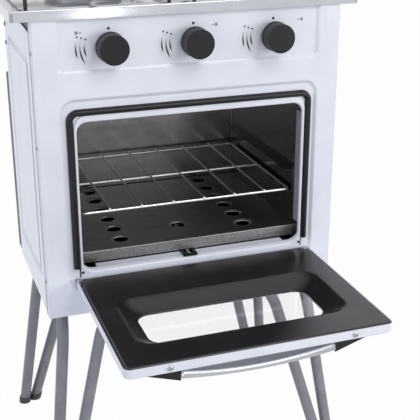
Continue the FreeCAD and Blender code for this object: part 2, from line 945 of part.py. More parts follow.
def build_floor_plate():
    wall = S.sheet_wall
    half = liner_half - S.seat_gap
    outer = box(mirrored(half), (S.floor_front, S.floor_rear), (liner_low, S.floor_level))
    under = box(
        mirrored(half - wall),
        (S.floor_front + wall, S.floor_rear + wall),
        (liner_low - wall, S.floor_level - wall),
    )
    drill = (S.floor_level - 2 * wall, S.floor_level + wall)
    holes = [rod("z", (0, S.floor_centre_hole), S.floor_hole, drill)]
    pitch = (S.floor_rear - S.floor_hole_margin - S.floor_hole_first) / (FLOOR_HOLES - 1)
    for index in range(FLOOR_HOLES):
        y = S.floor_hole_first + index * pitch
        holes.append(rod("z", (-S.floor_row_x, y), S.floor_hole, drill))
        holes.append(rod("z", (S.floor_row_x, y), S.floor_hole, drill))
    node("oven_floor_plate", cut(outer, under, *holes))


def build_rack():
    wire = S.rack_wire
    middle = (S.rack_front + S.rack_rear) / 2
    bars = []
    for y in (S.rack_front, middle, S.rack_rear):
        bars.append(rod("x", (y, S.rack_level), wire, (-S.rack_half - wire, S.rack_half + wire)))
    for x in (-S.rack_half, S.rack_half):
        bars.append(rod("y", (x, S.rack_level), wire, (S.rack_front, S.rack_rear)))
    top = S.rack_level + wire
    for index in range(RACK_BARS):
        x = (index - (RACK_BARS - 1) / 2) * S.rack_pitch
        bars.append(rod("y", (x, top), S.rack_bar, (S.rack_front - wire, S.rack_rear + wire)))
    node("oven_rack", join(*bars))


def build_rails():
    wall = S.sheet_wall
    low = S.rack_level - S.rack_wire - S.seat_gap
    high = low + S.rail_step
    depth = (S.rail_front, S.rail_rear)
    for label, sign in (("rack_rail_left", -1), ("rack_rail_right", 1)):
        strip = box(
            ordered(sign, liner_half, liner_half - wall), depth, (low - S.rail_margin, high + S.rail_margin)
        )
        ledges = [
            box(ordered(sign, liner_half, liner_half - S.rail_ledge), depth, (top - wall, top))
            for top in (low, high)
        ]
        node(label, join(strip, *ledges))


def build_gasket():
    front = S.oven_step - S.gasket_thick
    depth = (front, S.oven_step)
    band = S.gasket_band
    low = S.gasket_low - S.gasket_corner
    outer = cross_slab(S.gasket_half, low, S.gasket_high, depth, S.gasket_corner)
    inner = cross_slab(
        S.gasket_half - band,
        low - band,
        S.gasket_high - band,
        (front - band, S.oven_step + band),
        S.gasket_corner - band,
    )
    ends = box(mirrored(S.gasket_half + band), (front - band, S.oven_step + band), (low - band, S.gasket_low))
    node("door_gasket", cut(outer, inner, ends))


def build_oven_burner():
    radius = S.oven_burner_radius
    bore = radius - S.oven_burner_wall
    level = (liner_low + S.floor_level - S.sheet_wall) / 2
    mixer_bore = S.mixer_radius - S.mixer_wall
    front, rear = S.oven_burner_front, S.oven_burner_rear
    tube = rod("y", (0, level), radius, (front, rear))
    mixer = rod("z", (0, S.oven_mixer_y), S.mixer_radius, (S.oven_mixer_low, level))
    inside = rod("y", (0, level), bore, (front + S.oven_burner_wall, rear - S.oven_burner_wall))
    throat = rod("z", (0, S.oven_mixer_y), mixer_bore, (S.oven_mixer_low - S.mixer_wall, level))
    stay = box(
        mirrored(S.oven_burner_wall),
        (front + radius, front + radius + S.oven_burner_wall),
        (liner_low, level),
    )
    ports = []
    for index in range(OVEN_PORTS):
        y = front + 2 * radius + index * S.oven_port_pitch
        ports.append(rod("x", (y, level), S.port_radius, (-2 * radius, 2 * radius)))
    node("oven_burner", cut(join(tube, mixer, stay), inside, throat, *ports))


def build_floor_clip():
    """The black spring clip on the sill that holds the front edge of the oven floor."""
    x = S.clip_x
    plate = box(
        (x - S.clip_half, x + S.clip_half),
        (S.clip_front, S.clip_rear),
        (S.opening_low, S.opening_low + S.clip_height),
    )
    slot = box(
        (x - S.clip_slot, x + S.clip_slot),
        (S.clip_front + S.clip_slot / 2, S.clip_rear - S.clip_slot),
        (S.opening_low + S.clip_wall, S.opening_low + 2 * S.clip_height),
    )
    tongue = box(
        (x, x + S.clip_half),
        (S.clip_rear - S.clip_slot / 2, S.floor_front - S.hole_gap),
        (S.opening_low, S.opening_low + S.clip_wall),
    )
    node("floor_clip", join(cut(plate, slot), tongue))


# Gas supply and controls


def tap_positions():
    return (("left", -S.knob_x), ("middle", formula(0)), ("right", S.knob_x))


def build_tap(side, x):
    level = S.knob_level
    centre = (x, level)
    half = S.tap_half
    neck = rod("y", centre, S.tap_neck, (S.tap_front, S.tap_block_front + S.sheet_wall))
    block = box((x - half, x + half), (S.tap_block_front, S.tap_block_rear), (level - half, level + half))
    saddle = box(
        (x - S.saddle_half, x + S.saddle_half),
        (S.pipe_y - S.saddle_half, S.pipe_y + S.saddle_half),
        (S.pipe_level + S.pipe_radius, level - half),
    )
    bore = rod("y", centre, S.plug_radius, (S.tap_front - S.sheet_wall, S.plug_rear + S.seat_gap))
    node("gas_tap_" + side, cut(join(neck, block, saddle), bore))

    plug_front = S.tap_front + S.sheet_wall
    plug = rod("y", centre, S.plug_radius - S.running_gap, (plug_front, S.plug_rear))
    socket = rod("y", centre, S.stem_radius + S.running_gap, (plug_front - S.sheet_wall, S.plug_socket_rear))
    node("tap_plug_" + side, cut(plug, socket))

    knob_back = S.control_step - S.knob_gap
    stem_front = knob_back - S.knob_socket
    node("tap_stem_" + side, rod("y", centre, S.stem_radius, (stem_front, stem_front + S.stem_length)))

    edge = S.knob_radius - S.knob_edge
    profile = [
        (S.stem_radius + S.hole_gap, S.knob_height),
        (S.stem_radius + S.hole_gap, S.knob_height - S.knob_socket),
        (0, S.knob_height - S.knob_socket),
        (0, 0),
        (edge, 0),
        (S.knob_radius, S.knob_edge),
        (S.knob_radius, S.knob_height),
    ]
    node("knob_" + side, turned(profile, x, knob_back - S.knob_height, level, axis="y"))


def build_supply():
    rear = S.body_depth
    run = [
        spot(-S.pipe_left, S.pipe_y, S.pipe_level),
        spot(S.inlet_x, S.pipe_y, S.pipe_level),
        spot(S.inlet_x, rear + S.sheet_wall, S.pipe_level),
    ]
    node("gas_manifold", pipe(run, S.pipe_bend, S.pipe_radius, S.pipe_wall))

    collar_start = rear + S.sheet_wall
    collar_end = collar_start + S.nozzle_collar_length
    centre = (S.inlet_x, S.pipe_level)
    collar = rod("y", centre, S.nozzle_collar, (collar_start, collar_end))
    spigot = rod("y", centre, S.nozzle_radius, (collar_start, collar_end + S.nozzle_length))
    bore = rod("y", centre, S.nozzle_bore, (rear, collar_end + S.nozzle_length + S.sheet_wall))
    node("hose_nozzle", cut(join(collar, spigot), bore))

    tap_low = S.knob_level - S.tap_half
    run = [
        spot(0, S.oven_pipe_y, tap_low),
        spot(0, S.oven_pipe_y, S.oven_pipe_level),
        spot(S.oven_pipe_x, S.oven_pipe_y, S.oven_pipe_level),
        spot(S.oven_pipe_x, S.oven_pipe_y, S.oven_pipe_low),
        spot(S.oven_pipe_x, S.oven_mixer_y, S.oven_pipe_low),
        spot(S.holder_radius, S.oven_mixer_y, S.oven_pipe_low),
    ]
    node("oven_pipe", pipe(run, S.oven_pipe_bend, S.oven_pipe_radius, S.sheet_wall))

    jets = [
        rod("y", (x, S.knob_level), S.jet_radius, (S.tap_block_rear, S.tap_block_rear + S.jet_length))
        for x in (-S.knob_x, S.knob_x)
    ]
    centre = (0, S.oven_mixer_y)
    low = S.oven_pipe_low - S.holder_half
    high = S.oven_pipe_low + S.holder_half
    holder = rod("z", centre, S.holder_radius, (low, high))
    tip = rod("z", centre, S.oven_jet_radius, (high, S.oven_mixer_low + S.oven_jet_radius))
    node("gas_jets", group(*jets, join(holder, tip)))


# Door, drawn open and level


def door_y_span(inset):
    return (inset - S.door_reach, -S.door_back_gap - inset)


def hinge_slots():
    half = S.hinge_slot / 2
    rear = S.hinge_y + S.hinge_eye + S.hinge_wall
    low = S.hinge_level - S.hinge_eye - S.hinge_wall
    return [
        box((x - half, x + half), (-rear, 0), (low, S.door_level + S.hinge_wall))
        for x in (-S.hinge_x, S.hinge_x)
    ]


def door_screw_level():
    return S.door_level - S.lining_skirt / 2 - S.sheet_wall / 2


def door_screw_rods(radius, start, end):
    """Rods along Y at the two screws of the free edge, measured inwards from that edge."""
    return [
        rod("y", (x, door_screw_level()), radius, (start - S.door_reach, end - S.door_reach))
        for x in (-S.door_screw_x, S.door_screw_x)
    ]


def door_pan(rim, low, inset, slope, far_slope):
    """The skin's shallow pan: its border slopes from the rim to the flat outer face."""
    near, far = door_y_span(inset)
    upper = rounded_outline(S.door_half - inset, near, far, rim, S.door_corner - inset)
    lower = rounded_outline(
        S.door_half - slope, slope - S.door_reach, -S.door_back_gap - far_slope, low, S.door_pan_corner
    )
    return funnel(upper, lower)


def build_door():
    wall = S.sheet_wall
    gap = S.door_lining_gap
    low, high = door_outer, S.door_level - gap
    rim = S.door_level - S.door_rim
    block = rounded(box(mirrored(S.door_half), door_y_span(0), (rim, high)), S.door_corner, "z")
    shaped = join(block, door_pan(rim, low, formula(0), S.door_slope, S.door_far_slope))
    inner_rim = rim + 2 * wall / 3
    inside = rounded(
        box(mirrored(S.door_half - wall), door_y_span(wall), (inner_rim, high + wall)),
        S.door_corner - wall,
        "z",
    )
    hollow_pan = join(
        inside, door_pan(inner_rim, low + wall, wall, S.door_slope + wall / 5, S.door_far_slope + wall)
    )
    pane_half = S.window_half - S.window_slope
    pane_far = S.window_far + S.window_slope
    pane_near = S.window_near - S.window_slope
    window = rounded_slab(
        mirrored(pane_half), (-pane_near, -pane_far), (low - wall, low + 2 * wall), S.pane_corner, "z"
    )
    screw_hole = S.screw_radius + S.hole_gap
    edge_holes = door_screw_rods(screw_hole, -wall, S.screw_length)
    node("door_shell", cut(shaped, hollow_pan, window, *hinge_slots(), *edge_holes))

    glass_low = low + wall
    glass_high = glass_low + S.glass_wall
    lap = S.glass_lap
    glass = rounded_slab(
        mirrored(pane_half + lap),
        (-pane_near - lap, -pane_far + lap),
        (glass_low, glass_high),
        S.pane_corner,
        "z",
    )
    node("door_glass", glass)

    skirt_gap = wall + gap
    lining = rounded(
        box(
            mirrored(S.door_half - skirt_gap),
            door_y_span(skirt_gap),
            (S.door_level - S.lining_skirt, S.door_level),
        ),
        S.door_corner - skirt_gap,
        "z",
    )
    hollow = rounded(
        box(
            mirrored(S.door_half - skirt_gap - wall),
            door_y_span(skirt_gap + wall),
            (S.door_level - S.lining_skirt - wall, S.door_level - wall),
        ),
        S.door_corner - skirt_gap - wall,
        "z",
    )
    rest = glass_high + S.hole_gap
    mouth = S.door_level + wall
    flare = S.window_slope * (wall / (S.door_level - rest))

    def window_solid(top, bottom, grow):
        upper = rounded_outline(
            S.window_half + grow + flare,
            -(S.window_near + grow + flare),
            -(S.window_far - grow - flare),
            formula(top),
            S.window_corner + grow,
        )
        lower = rounded_outline(
            pane_half + grow, -(pane_near + grow), -(pane_far - grow), formula(bottom), S.pane_corner + grow
        )
        return funnel(upper, lower)

    band = box(mirrored(S.door_half), door_y_span(0), (rest, S.door_level))
    skin = common(window_solid(mouth, rest, wall), band)
    throat = window_solid(mouth, rest, formula(0))
    panel = join(cut(lining, hollow), skin)
    node("door_inner_panel", cut(panel, throat, *hinge_slots(), *edge_holes))

    heads = door_screw_rods(S.screw_head, -S.screw_head_height, formula(0))
    shanks = door_screw_rods(S.screw_radius, -S.hole_gap, S.screw_length)
    node("door_screws", group(*[join(head, shank) for head, shank in zip(heads, shanks)]))


def build_hinges():
    wall = S.hinge_wall
    eye_low = S.hinge_level - S.hinge_eye
    eye_high = S.hinge_level + S.hinge_eye
    axis = (-S.hinge_y, S.hinge_level)
    pins = []
    ears = []
    for side, sign in (("left", -1), ("right", 1)):
        plate = ordered(sign, S.hinge_x + wall / 2, S.hinge_x - wall / 2)
        eye = rod("x", axis, S.hinge_eye, plate)
        arm = box(plate, (-S.hinge_y, S.oven_step), (eye_low, eye_high))
        foot = box(
            ordered(sign, S.hinge_x + S.hinge_foot, S.hinge_x - wall / 2),
            (S.oven_step - wall / 2, S.oven_step),
            (S.hinge_level - S.hinge_foot_half, S.hinge_level + S.hinge_foot_half),
        )
        pin_hole = rod("x", axis, S.pin_radius + S.running_gap / 2, plate)
        node("hinge_bracket_" + side, cut(join(eye, arm, foot), pin_hole))
        pin_end = S.hinge_x + wall
        pins.append(rod("x", axis, S.pin_radius, ordered(sign, pin_end, pin_end - S.pin_length)))
        ear_outer = S.hinge_x - S.hinge_slot / 2 - S.hinge_eye / 2
        inner_edge = S.door_back_gap + S.sheet_wall + S.door_lining_gap + S.sheet_wall
        ear = box(
            ordered(sign, ear_outer, ear_outer - S.ear_wall),
            (-inner_edge - S.ear_length, -inner_edge),
            (door_outer + S.ear_rise, S.door_level - S.sheet_wall),
        )
        ear_hole = rod(
            "x", axis, S.pin_radius + S.running_gap, ordered(sign, S.hinge_x, ear_outer - 2 * S.ear_wall)
        )
        ears.append(cut(ear, ear_hole))
    node("hinge_pins", group(*pins))
    node("door_ears", group(*ears))


def build_handle():
    depth = (-S.handle_y - S.handle_depth / 2, -S.handle_y + S.handle_depth / 2)
    chord = S.cap_root
    radius = (chord * chord + S.bar_sag * S.bar_sag) / (2 * S.bar_sag)
    middle = door_outer - S.bar_end_drop - S.bar_sag
    outer = rod("y", (0, middle + radius), radius + S.bar_thick / 2, depth)
    through = (depth[0] - S.bar_thick, depth[1] + S.bar_thick)
    inner = rod("y", (0, middle + radius), radius - S.bar_thick / 2, through)
    reach = box(mirrored(S.cap_root), depth, (middle - S.bar_thick, door_outer))
    node("handle_bar", common(cut(outer, inner), reach))
    for side, sign in (("left", -1), ("right", 1)):
        cap = doc.addObject("Part::Wedge", "HandleCap")
        limits = {
            "Xmin": -S.handle_depth / 2,
            "Xmax": S.handle_depth / 2,
            "X2min": -S.handle_depth / 2,
            "X2max": S.handle_depth / 2,
            "Ymin": 0,
            "Ymax": S.cap_tip - S.cap_root,
            "Zmin": -S.cap_drop if sign < 0 else 0,
            "Zmax": 0 if sign < 0 else S.cap_drop,
            "Z2min": -S.cap_tip_drop if sign < 0 else 0,
            "Z2max": 0 if sign < 0 else S.cap_tip_drop,
        }
        for prop, value in limits.items():
            bind(cap, prop, value)
        quarter = FreeCAD.Rotation(FreeCAD.Vector(0, 0, 1), 90)
        half_turn = FreeCAD.Rotation(FreeCAD.Vector(0, 1, 0), 180)
        turn = quarter if sign < 0 else FreeCAD.Rotation(FreeCAD.Vector(0, 0, 1), -90) * half_turn
        cap.Placement = FreeCAD.Placement(FreeCAD.Vector(), turn)
        place(cap, sign * S.cap_root, -S.handle_y, door_outer)
        node("handle_cap_" + side, cap)


# Stand


def front_leg_points(rear):
    sign = 1 if rear else -1
    foot_level = floor_z + S.foot_floor
    foot_y = S.stand_centre + sign * S.front_foot_reach
    top_y = S.stand_centre + sign * S.front_top_reach
    return [
        spot(-S.front_foot_half, foot_y, foot_level),
        spot(-S.front_top_half, top_y, S.run_level),
        spot(S.front_top_half, top_y, S.run_level),
        spot(S.front_foot_half, foot_y, foot_level),
    ]


def side_leg_points(sign):
    foot_level = floor_z + S.foot_floor
    foot_x = sign * S.side_foot_half
    top_x = sign * S.side_top_half
    return [
        spot(foot_x, S.stand_centre - S.side_foot_reach, foot_level),
        spot(top_x, S.stand_centre - S.side_top_reach, S.run_level),
        spot(top_x, S.stand_centre + S.side_top_reach, S.run_level),
        spot(foot_x, S.stand_centre + S.side_foot_reach, foot_level),
    ]


def bolt_spots():
    spots = []
    for sign in (-1, 1):
        for reach in (-S.front_top_reach, S.front_top_reach):
            spots.append((sign * S.front_bolt_spread, S.stand_centre + reach))
        for side in (-S.side_top_half, S.side_top_half):
            spots.append((side, S.stand_centre + sign * S.side_bolt_spread))
    return spots


def bolt_rods(radius):
    low = S.run_level - S.tube_radius
    return [rod("z", centre, radius, (low, base_top + S.bolt_head_height)) for centre in bolt_spots()]


def build_stand():
    tubes = {
        "leg_front": front_leg_points(False),
        "leg_rear": front_leg_points(True),
        "leg_left": side_leg_points(-1),
        "leg_right": side_leg_points(1),
    }
    for label, points in tubes.items():
        tube = pipe(points, S.tube_bend, S.tube_radius, S.tube_wall)
        node(label, cut(tube, *bolt_rods(S.bolt_radius + S.hole_gap)))
    corners = {
        "foot_front_left": (("leg_front", 0), ("leg_left", 0)),
        "foot_front_right": (("leg_front", 3), ("leg_right", 0)),
        "foot_rear_left": (("leg_rear", 0), ("leg_left", 3)),
        "foot_rear_right": (("leg_rear", 3), ("leg_right", 3)),
    }
    for label, ends in corners.items():
        sleeves = []
        sockets = []
        for tube, index in ends:
            end = tubes[tube][index]
            above = tubes[tube][1 if index == 0 else 2]
            back = end - (above - end).normalize() * (2 * S.foot_height.value)
            sleeves.append(leaning_rod(back, above, foot_radius, 5 * S.foot_height))
            sockets.append(leaning_rod(end, above, S.tube_radius + S.hole_gap, 3 * S.foot_height))
        reach = 3 * S.foot_height
        centre = tubes[ends[0][0]][ends[0][1]]
        slice_box = box(
            (centre.x - reach, centre.x + reach),
            (centre.y - reach, centre.y + reach),
            (floor_z, floor_z + S.foot_height),
        )
        node(label, cut(common(join(*sleeves), slice_box), *sockets))


def build_fasteners():
    bolts = []
    low = S.run_level - S.tube_radius
    for centre, shank in zip(bolt_spots(), bolt_rods(S.bolt_radius)):
        head = rod("z", centre, S.bolt_head, (low - S.bolt_head_height, low))
        nut = rod("z", centre, S.bolt_head, (base_top, base_top + S.bolt_head_height))
        bolts.append(join(shank, head, nut))
    node("leg_bolts", group(*bolts))

    screws = []
    for face, y, levels in (side_screws(), cover_screws()):
        for level in levels:
            for sign in (-1, 1):
                head = rod("x", (y, level), S.screw_head, ordered(sign, face + S.screw_head_height, face))
                shank = rod("x", (y, level), S.screw_radius, ordered(sign, face, face - S.screw_length))
                screws.append(join(head, shank))
    node("body_screws", group(*screws))


def check_and_write():
    doc.recompute()
    failed = [item.Label for item in doc.Objects if "Invalid" in item.State or "Error" in item.State]
    if failed:
        raise RuntimeError("failed features: " + ", ".join(failed))
    for piece in nodes:
        if piece.Shape.isNull() or not piece.Shape.isValid():
            raise RuntimeError("bad shape: " + piece.Label)
        if not piece.Shape.Solids:
            raise RuntimeError("no solid in: " + piece.Label)
    os.makedirs("parts", exist_ok=True)
    for piece in nodes:
        piece.Shape.exportStep("parts/{}.step".format(piece.Label))
        print(piece.Label, len(piece.Shape.Solids), round(piece.Shape.Volume))


build_front_panel()
build_side_panels()
build_back_and_base()
build_tray()
for side, sign in (("left", -1), ("right", 1)):
    build_burner(side, sign)
    build_trivet(side, sign)
build_liner()
build_floor_plate()
build_rack()
build_rails()
build_gasket()
build_oven_burner()
build_floor_clip()
for side, x in tap_positions():
    build_tap(side, x)
build_supply()
build_door()
build_hinges()
build_handle()
build_stand()
build_fasteners()
check_and_write()
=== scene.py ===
import json
import math

import bmesh
import bpy
from mathutils import Matrix, Vector


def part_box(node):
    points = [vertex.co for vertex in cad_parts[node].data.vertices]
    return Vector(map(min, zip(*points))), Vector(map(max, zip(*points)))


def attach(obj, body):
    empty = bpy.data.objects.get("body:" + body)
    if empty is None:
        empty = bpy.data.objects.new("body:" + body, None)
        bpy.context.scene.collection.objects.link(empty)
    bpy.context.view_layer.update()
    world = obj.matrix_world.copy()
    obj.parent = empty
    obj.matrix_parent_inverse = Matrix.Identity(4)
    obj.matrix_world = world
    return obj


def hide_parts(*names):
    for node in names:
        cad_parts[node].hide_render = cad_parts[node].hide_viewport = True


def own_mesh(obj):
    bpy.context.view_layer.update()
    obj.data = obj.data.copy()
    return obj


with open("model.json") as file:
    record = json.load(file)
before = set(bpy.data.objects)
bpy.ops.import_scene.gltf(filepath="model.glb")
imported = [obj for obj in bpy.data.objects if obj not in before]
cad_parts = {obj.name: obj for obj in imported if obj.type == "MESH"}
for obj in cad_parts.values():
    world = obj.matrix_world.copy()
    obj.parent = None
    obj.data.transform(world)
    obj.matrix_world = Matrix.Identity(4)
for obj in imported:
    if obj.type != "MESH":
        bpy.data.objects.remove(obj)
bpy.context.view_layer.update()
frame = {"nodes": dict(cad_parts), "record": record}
scene = bpy.context.scene

# Pieces are drawn in millimetres from the front panel: y = 0 is its face and z = 0 its lower edge.
MM = 0.001
PANEL_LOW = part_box("front_panel")[0]
ORIGIN = Vector((0.0, PANEL_LOW.y, PANEL_LOW.z))
SIDES = (("left", -1), ("right", 1))
KNOBS = ("left", "middle", "right")

# Counts that set how finely round shapes are drawn
CORNER_STEPS = 8
BEVEL_STEPS = 4
EDGE_STEPS = 2
BLOCK_STEPS = 3
BEND_STEPS = 6
ROUND_STEPS = 64
HOLE_STEPS = 32
SCREW_STEPS = 24
SMALL_STEPS = 20
NUB_STEPS = 16
ARC_STEPS = 24
MOUTH_STEPS = 9
BAR_STEPS = 40
CURVE_STEPS = 10
TUBE_SIDES = 16
WIRE_SIDES = 12
BEAD_SIDES = 24

# Tolerances and overlaps in millimetres, and how squarely a face looks along an axis
CLOSE = 0.01
MERGE = 0.001
SLICE = 0.0001
LAP = 1.0
FACING = 0.5
MOSTLY_FACING = 0.6
SQUARELY = 0.9

# Shares of a noise's range that a pattern spreads over
NOISE_RANGE = (0.3, 0.7)
TINT_RANGE = (0.35, 0.65)

# Cabinet, all of sheet steel
SHEET = 1.0
STRIP_EDGE = SHEET / 4
BEND_MIDDLE = 0.3
PRESS_RUN = 7.5
CONTROL_HALF = 194.8
CONTROL_LOW = 356.8
CONTROL_STEP = 2.8
CONTROL_CORNER = 12.0
OVEN_RUN = 7.0
OVEN_STEP_HALF = 194.0
OVEN_STEP_LOW = 38.0
OVEN_STEP_HIGH = 326.5
OVEN_STEP = 4.0
OVEN_STEP_CORNER = 22.0
OPENING_HALF = 170.3
OPENING_LOW = 68.6
OPENING_HIGH = 291.3
OPENING_CORNER = 15.0
OPENING_ROUND = 2.4
COLLAR_REAR = 6.0
SHELF_FRONT = 10.5
SHELF_REAR = 24.4
SHELF_HALF = 149.0
SIDE_COLLAR_REAR = 22.0
FRAME_HALF = 174.4
FRAME_LOW = 44.0
FRAME_HIGH = 301.5
FRAME_CORNER = 19.0
FRAME_FRONT = 2.0
FRAME_EDGE = 0.8
SILL_DEPTH = 3.7
SILL_DROP = 2.6
FLANGE = 18.0
FLANGE_BEND = 2.0
TRIM_ABOVE = 40.0
FIELD_FRONT = 50.0
FIELD_REAR = 235.0
FIELD_LOW = 44.0
FIELD_HIGH = 379.0
FIELD_GROOVE = 3.2
FIELD_RUN = 14.0
FIELD_SLOPE = 0.97
FIELD_CORNER = 9.0
NOTCH_FRONT = 22.0
NOTCH_REAR = 102.0
NOTCH_LOW = 414.5
NOTCH_REAR_LOW = 417.5
NOTCH_HIGH = 430.0
COVER_BEND = 3.0
COVER_DROP = 5.0
SEAM_WIDE = 1.6
SEAM_PROUD = 1.35
# A dark plate behind each notch, for painted shade inside it
NOTCH_SHADE_DEEP = 2.4
NOTCH_SHADE_MARGIN = 3.0

# Cooktop
TRAY_CORNER = 2.4
TRAY_ROUND = 1.5
TRAY_SEAM = 4.5
TRAY_SEAM_DROP = 0.6
TRAY_GAP = 2.0
TAB_THICK = 0.8
TAB_EDGE = TAB_THICK / 3
TRAY_RIM = 16.0
TRAY_WALL_RUN = 3.0
TRAY_HOLE = 34.0
BURNER_X = 120.0
BURNER_Y = 154.0
CAP_ROUND = 3.0
CAP_SHOULDER = 0.6
CAP_FLAT = 0.55
TRIVET_HALF = 104.0
TRIVET_BEND = 10.0
TRIVET_ROD = 2.75
TRIVET_CHAMFER = 1.0
TRIVET_LEVEL = 461.0
PRONG_REACH = 64.0
PRONG_HALF = 2.5
PRONG_SLOPE = 10.0
PRONG_ROUND = 1.6

# Oven
LINER_ROUND = 1.5
FLOOR_HOLE = 10.5
FLOOR_ROW_X = 100.0
FLOOR_HOLE_FIRST = 60.0
FLOOR_HOLE_PITCH = 43.5
FLOOR_HOLES = 6
FLOOR_CENTRE_HOLE = 87.0
FLOOR_ROUND = 1.6
FLOOR_LIFT = 3.4
RIM_BAND = 4.5
RIM_DIP = 2.0
RIM_WORN = 0.05
RIM_SHARES = (0.75, 0.5, 0.25, 0)
RACK_WIRE = 2.2
RACK_BAR = 1.6
RACK_PITCH = 49.0
RACK_BARS = 6
RACK_BEND = 8.0
RACK_NUB = 1.9
RACK_NUB_LONG = 3.2
GASKET_HALF = 184.6
GASKET_HIGH = 310.4
GASKET_LOW = 74.0
GASKET_BAND = 10.0
GASKET_TALL = 6.2
TAIL_RADIUS = 0.8
TAIL_LOW = 60.0
TAIL_LAP = 4.0
HOOK_X = 171.8
HOOK_LEVEL = 66.3
HOOK_RADIUS = 2.1
# The hook's outline, (across, rise) in shares of its radius
HOOK_SHAPE = ((0, 0.4), (0.8, 0.3), (1, 0), (0, -1))
GASKET_BEND = 12.0
CLIP_WALL = 3.6
CLIP_HEIGHT = 2.8
CLIP_PIN = 1.5
CLIP_EDGE = SHEET / 5
PIN_LAP = 0.5

# Knobs and printed marks
KNOB_ROUND = 1.0
KNOB_TAPER = 0.5
KNOB_SKIRT = 5.0
KNOB_GROOVE = 0.6
KNOB_MOUTH = 0.75
KNOB_BORE = 0.7
KNOB_DEPTH = 0.4
KNOB_X = 120.0
KNOB_LEVEL = 394.5
MARK_LIFT = 0.12
DOT_RADIUS = 2.0
DOT_RISE = 24.0
ARC_RADII = (34.0, 40.0, 46.0)
ARC_START = 168.0
ARC_SWEEPS = (34.0, 46.0, 30.0)
ARC_WIDE = 2.2
ARC_LEAN = 1.6
BEAD_RADIUS = 1.3
BEAD_LEAD = 7.0
SYMBOL_SIDE = 41.5
SYMBOL_RISE = 20.3
SYMBOL_SIZE = 4.4
SYMBOL_GAP = 0.8
SYMBOL_NEARER = 0.75
SYMBOL_CORNER = 0.4

# Door and handle
DOOR_CORNER = 10.0
DOOR_RIM = 47.0
DOOR_SLOPE = 18.0
DOOR_FAR_SLOPE = 3.0
DOOR_PAN_CORNER = 6.0
DOOR_ROUND = 2.5
LINING_CORNER = 9.6
LINING_ROUND = 3.0
LINING_SKIRT = 3.2
LINING_INSET = 1.7
RIM_DROP = 0.2
WINDOW_HALF = 150.0
WINDOW_FAR = 88.0
WINDOW_NEAR = 220.6
WINDOW_CORNER = 26.0
WINDOW_SLOPE = 24.0
PANE_CORNER = 19.0
MOUTH_LEAD = 0.16
MOUTH_STRAIGHT = 0.45
HINGE_X = 178.0
HINGE_SLOT = 5.4
HINGE_SLOT_FRONT = -15.0
HINGE_SLOT_REAR = 2.0
HINGE_SLOT_LOW = 44.15
HINGE_SLOT_HIGH = 70.0
BAR_SAG = 7.0
BAR_LOWER = 0.6
BAR_WAIST = 3.0
BAR_EDGE = 4.2
BAR_ROUND = 0.8
BAR_CORNER = 1.0
# How far up a face of the bar must look to take painted shade (top) or a painted highlight (upper slope)
BAR_SHADE_FACING = 0.95
BAR_HIGHLIGHT_FACING = 0.15
CAP_DROP = 2.4
CAP_TIP_DROP = 3.0
CAP_EDGE = 0.7

# Screw heads
SCREW_HEAD = 3.6
SCREW_RISE = 1.6
SCREW_SOCKET = 1.1
SOCKET_DEPTH = 0.7
SOCKET_EDGE = 0.05
# The dome's outline, (across, rise) in shares of the head's radius and rise
SCREW_DOME = ((0.55, 0.93), (0.85, 0.6), (1, 0))
SCREW_SHANK = 1.8
SCREW_LENGTH = 8.0
BODY_SCREW_Y = 11.0
BODY_SCREW_LEVELS = (389.0, 258.0, 56.0)
REAR_SCREW_Y = 255.0
REAR_SCREW_LEVELS = (389.5, 360.5)
COVER_SCREW_Y = 276.0
COVER_SCREW_LEVELS = (259.0, 56.0)
DOOR_SCREW_SCALE = 1.25
DOOR_SCREW_X = 126.0
DOOR_SCREW_LEVEL = 53.6


def linear(code):
    """A colour written as sRGB hex, as the linear values that a shader takes."""
    parts = [int(code[i:i + 2], 16) / 255 for i in (1, 3, 5)]
    return [c / 12.92 if c <= 0.04045 else ((c + 0.055) / 1.055) ** 2.4 for c in parts] + [1.0]


def add(tree, kind, links=None, **settings):
    """Add one node: settings name its properties or sockets, links give sockets to join to its inputs."""
    item = tree.nodes.new(kind)
    for name, value in settings.items():
        if hasattr(item, name):
            setattr(item, name, value)
        else:
            item.inputs[name.replace("_", " ")].default_value = value
    for socket, source in (links or {}).items():
        tree.links.new(source, item.inputs[socket])
    return item


def finish(name, colour, roughness, metallic=0.0):
    """A material with one surface shader, ready for its own pattern nodes."""
    material = bpy.data.materials.new(name)
    material.use_nodes = True
    tree = material.node_tree
    surface = tree.nodes["Principled BSDF"]
    surface.inputs["Base Color"].default_value = linear(colour)
    surface.inputs["Roughness"].default_value = roughness
    surface.inputs["Metallic"].default_value = metallic
    return material, tree, surface


def per_mm(size):
    """Pattern scale for features of this many millimetres on Object coordinates in metres."""
    return 1.0 / (size * MM)


def grain(tree, size, stretch, detail):
    """A cloudy pattern of a real size in millimetres that sits still on its piece; gives its strength."""
    place = add(tree, "ShaderNodeTexCoord")
    drawn = add(tree, "ShaderNodeMapping", {"Vector": place.outputs["Object"]}, Scale=stretch)
    pattern = {"Scale": per_mm(size), "Detail": detail}
    return add(tree, "ShaderNodeTexNoise", {"Vector": drawn.outputs["Vector"]}, **pattern).outputs["Fac"]


def speckle(tree, surface, size, low, high, stretch=(1, 1, 1), detail=3.0):
    """Let the roughness wander between two values."""
    strength = grain(tree, size, stretch, detail)
    limits = {"From_Min": NOISE_RANGE[0], "From_Max": NOISE_RANGE[1], "To_Min": low, "To_Max": high}
    spread = add(tree, "ShaderNodeMapRange", {"Value": strength}, **limits)
    tree.links.new(spread.outputs["Result"], surface.inputs["Roughness"])


def tint(tree, surface, dark, light, size, stretch=(1, 1, 1), detail=3.0):
    """Let the colour wander between two close tones."""
    ramp = add(tree, "ShaderNodeValToRGB", {"Fac": grain(tree, size, stretch, detail)})
    for stop, position, code in zip(ramp.color_ramp.elements, TINT_RANGE, (dark, light)):
        stop.position = position
        stop.color = linear(code)
    tree.links.new(ramp.outputs["Color"], surface.inputs["Base Color"])


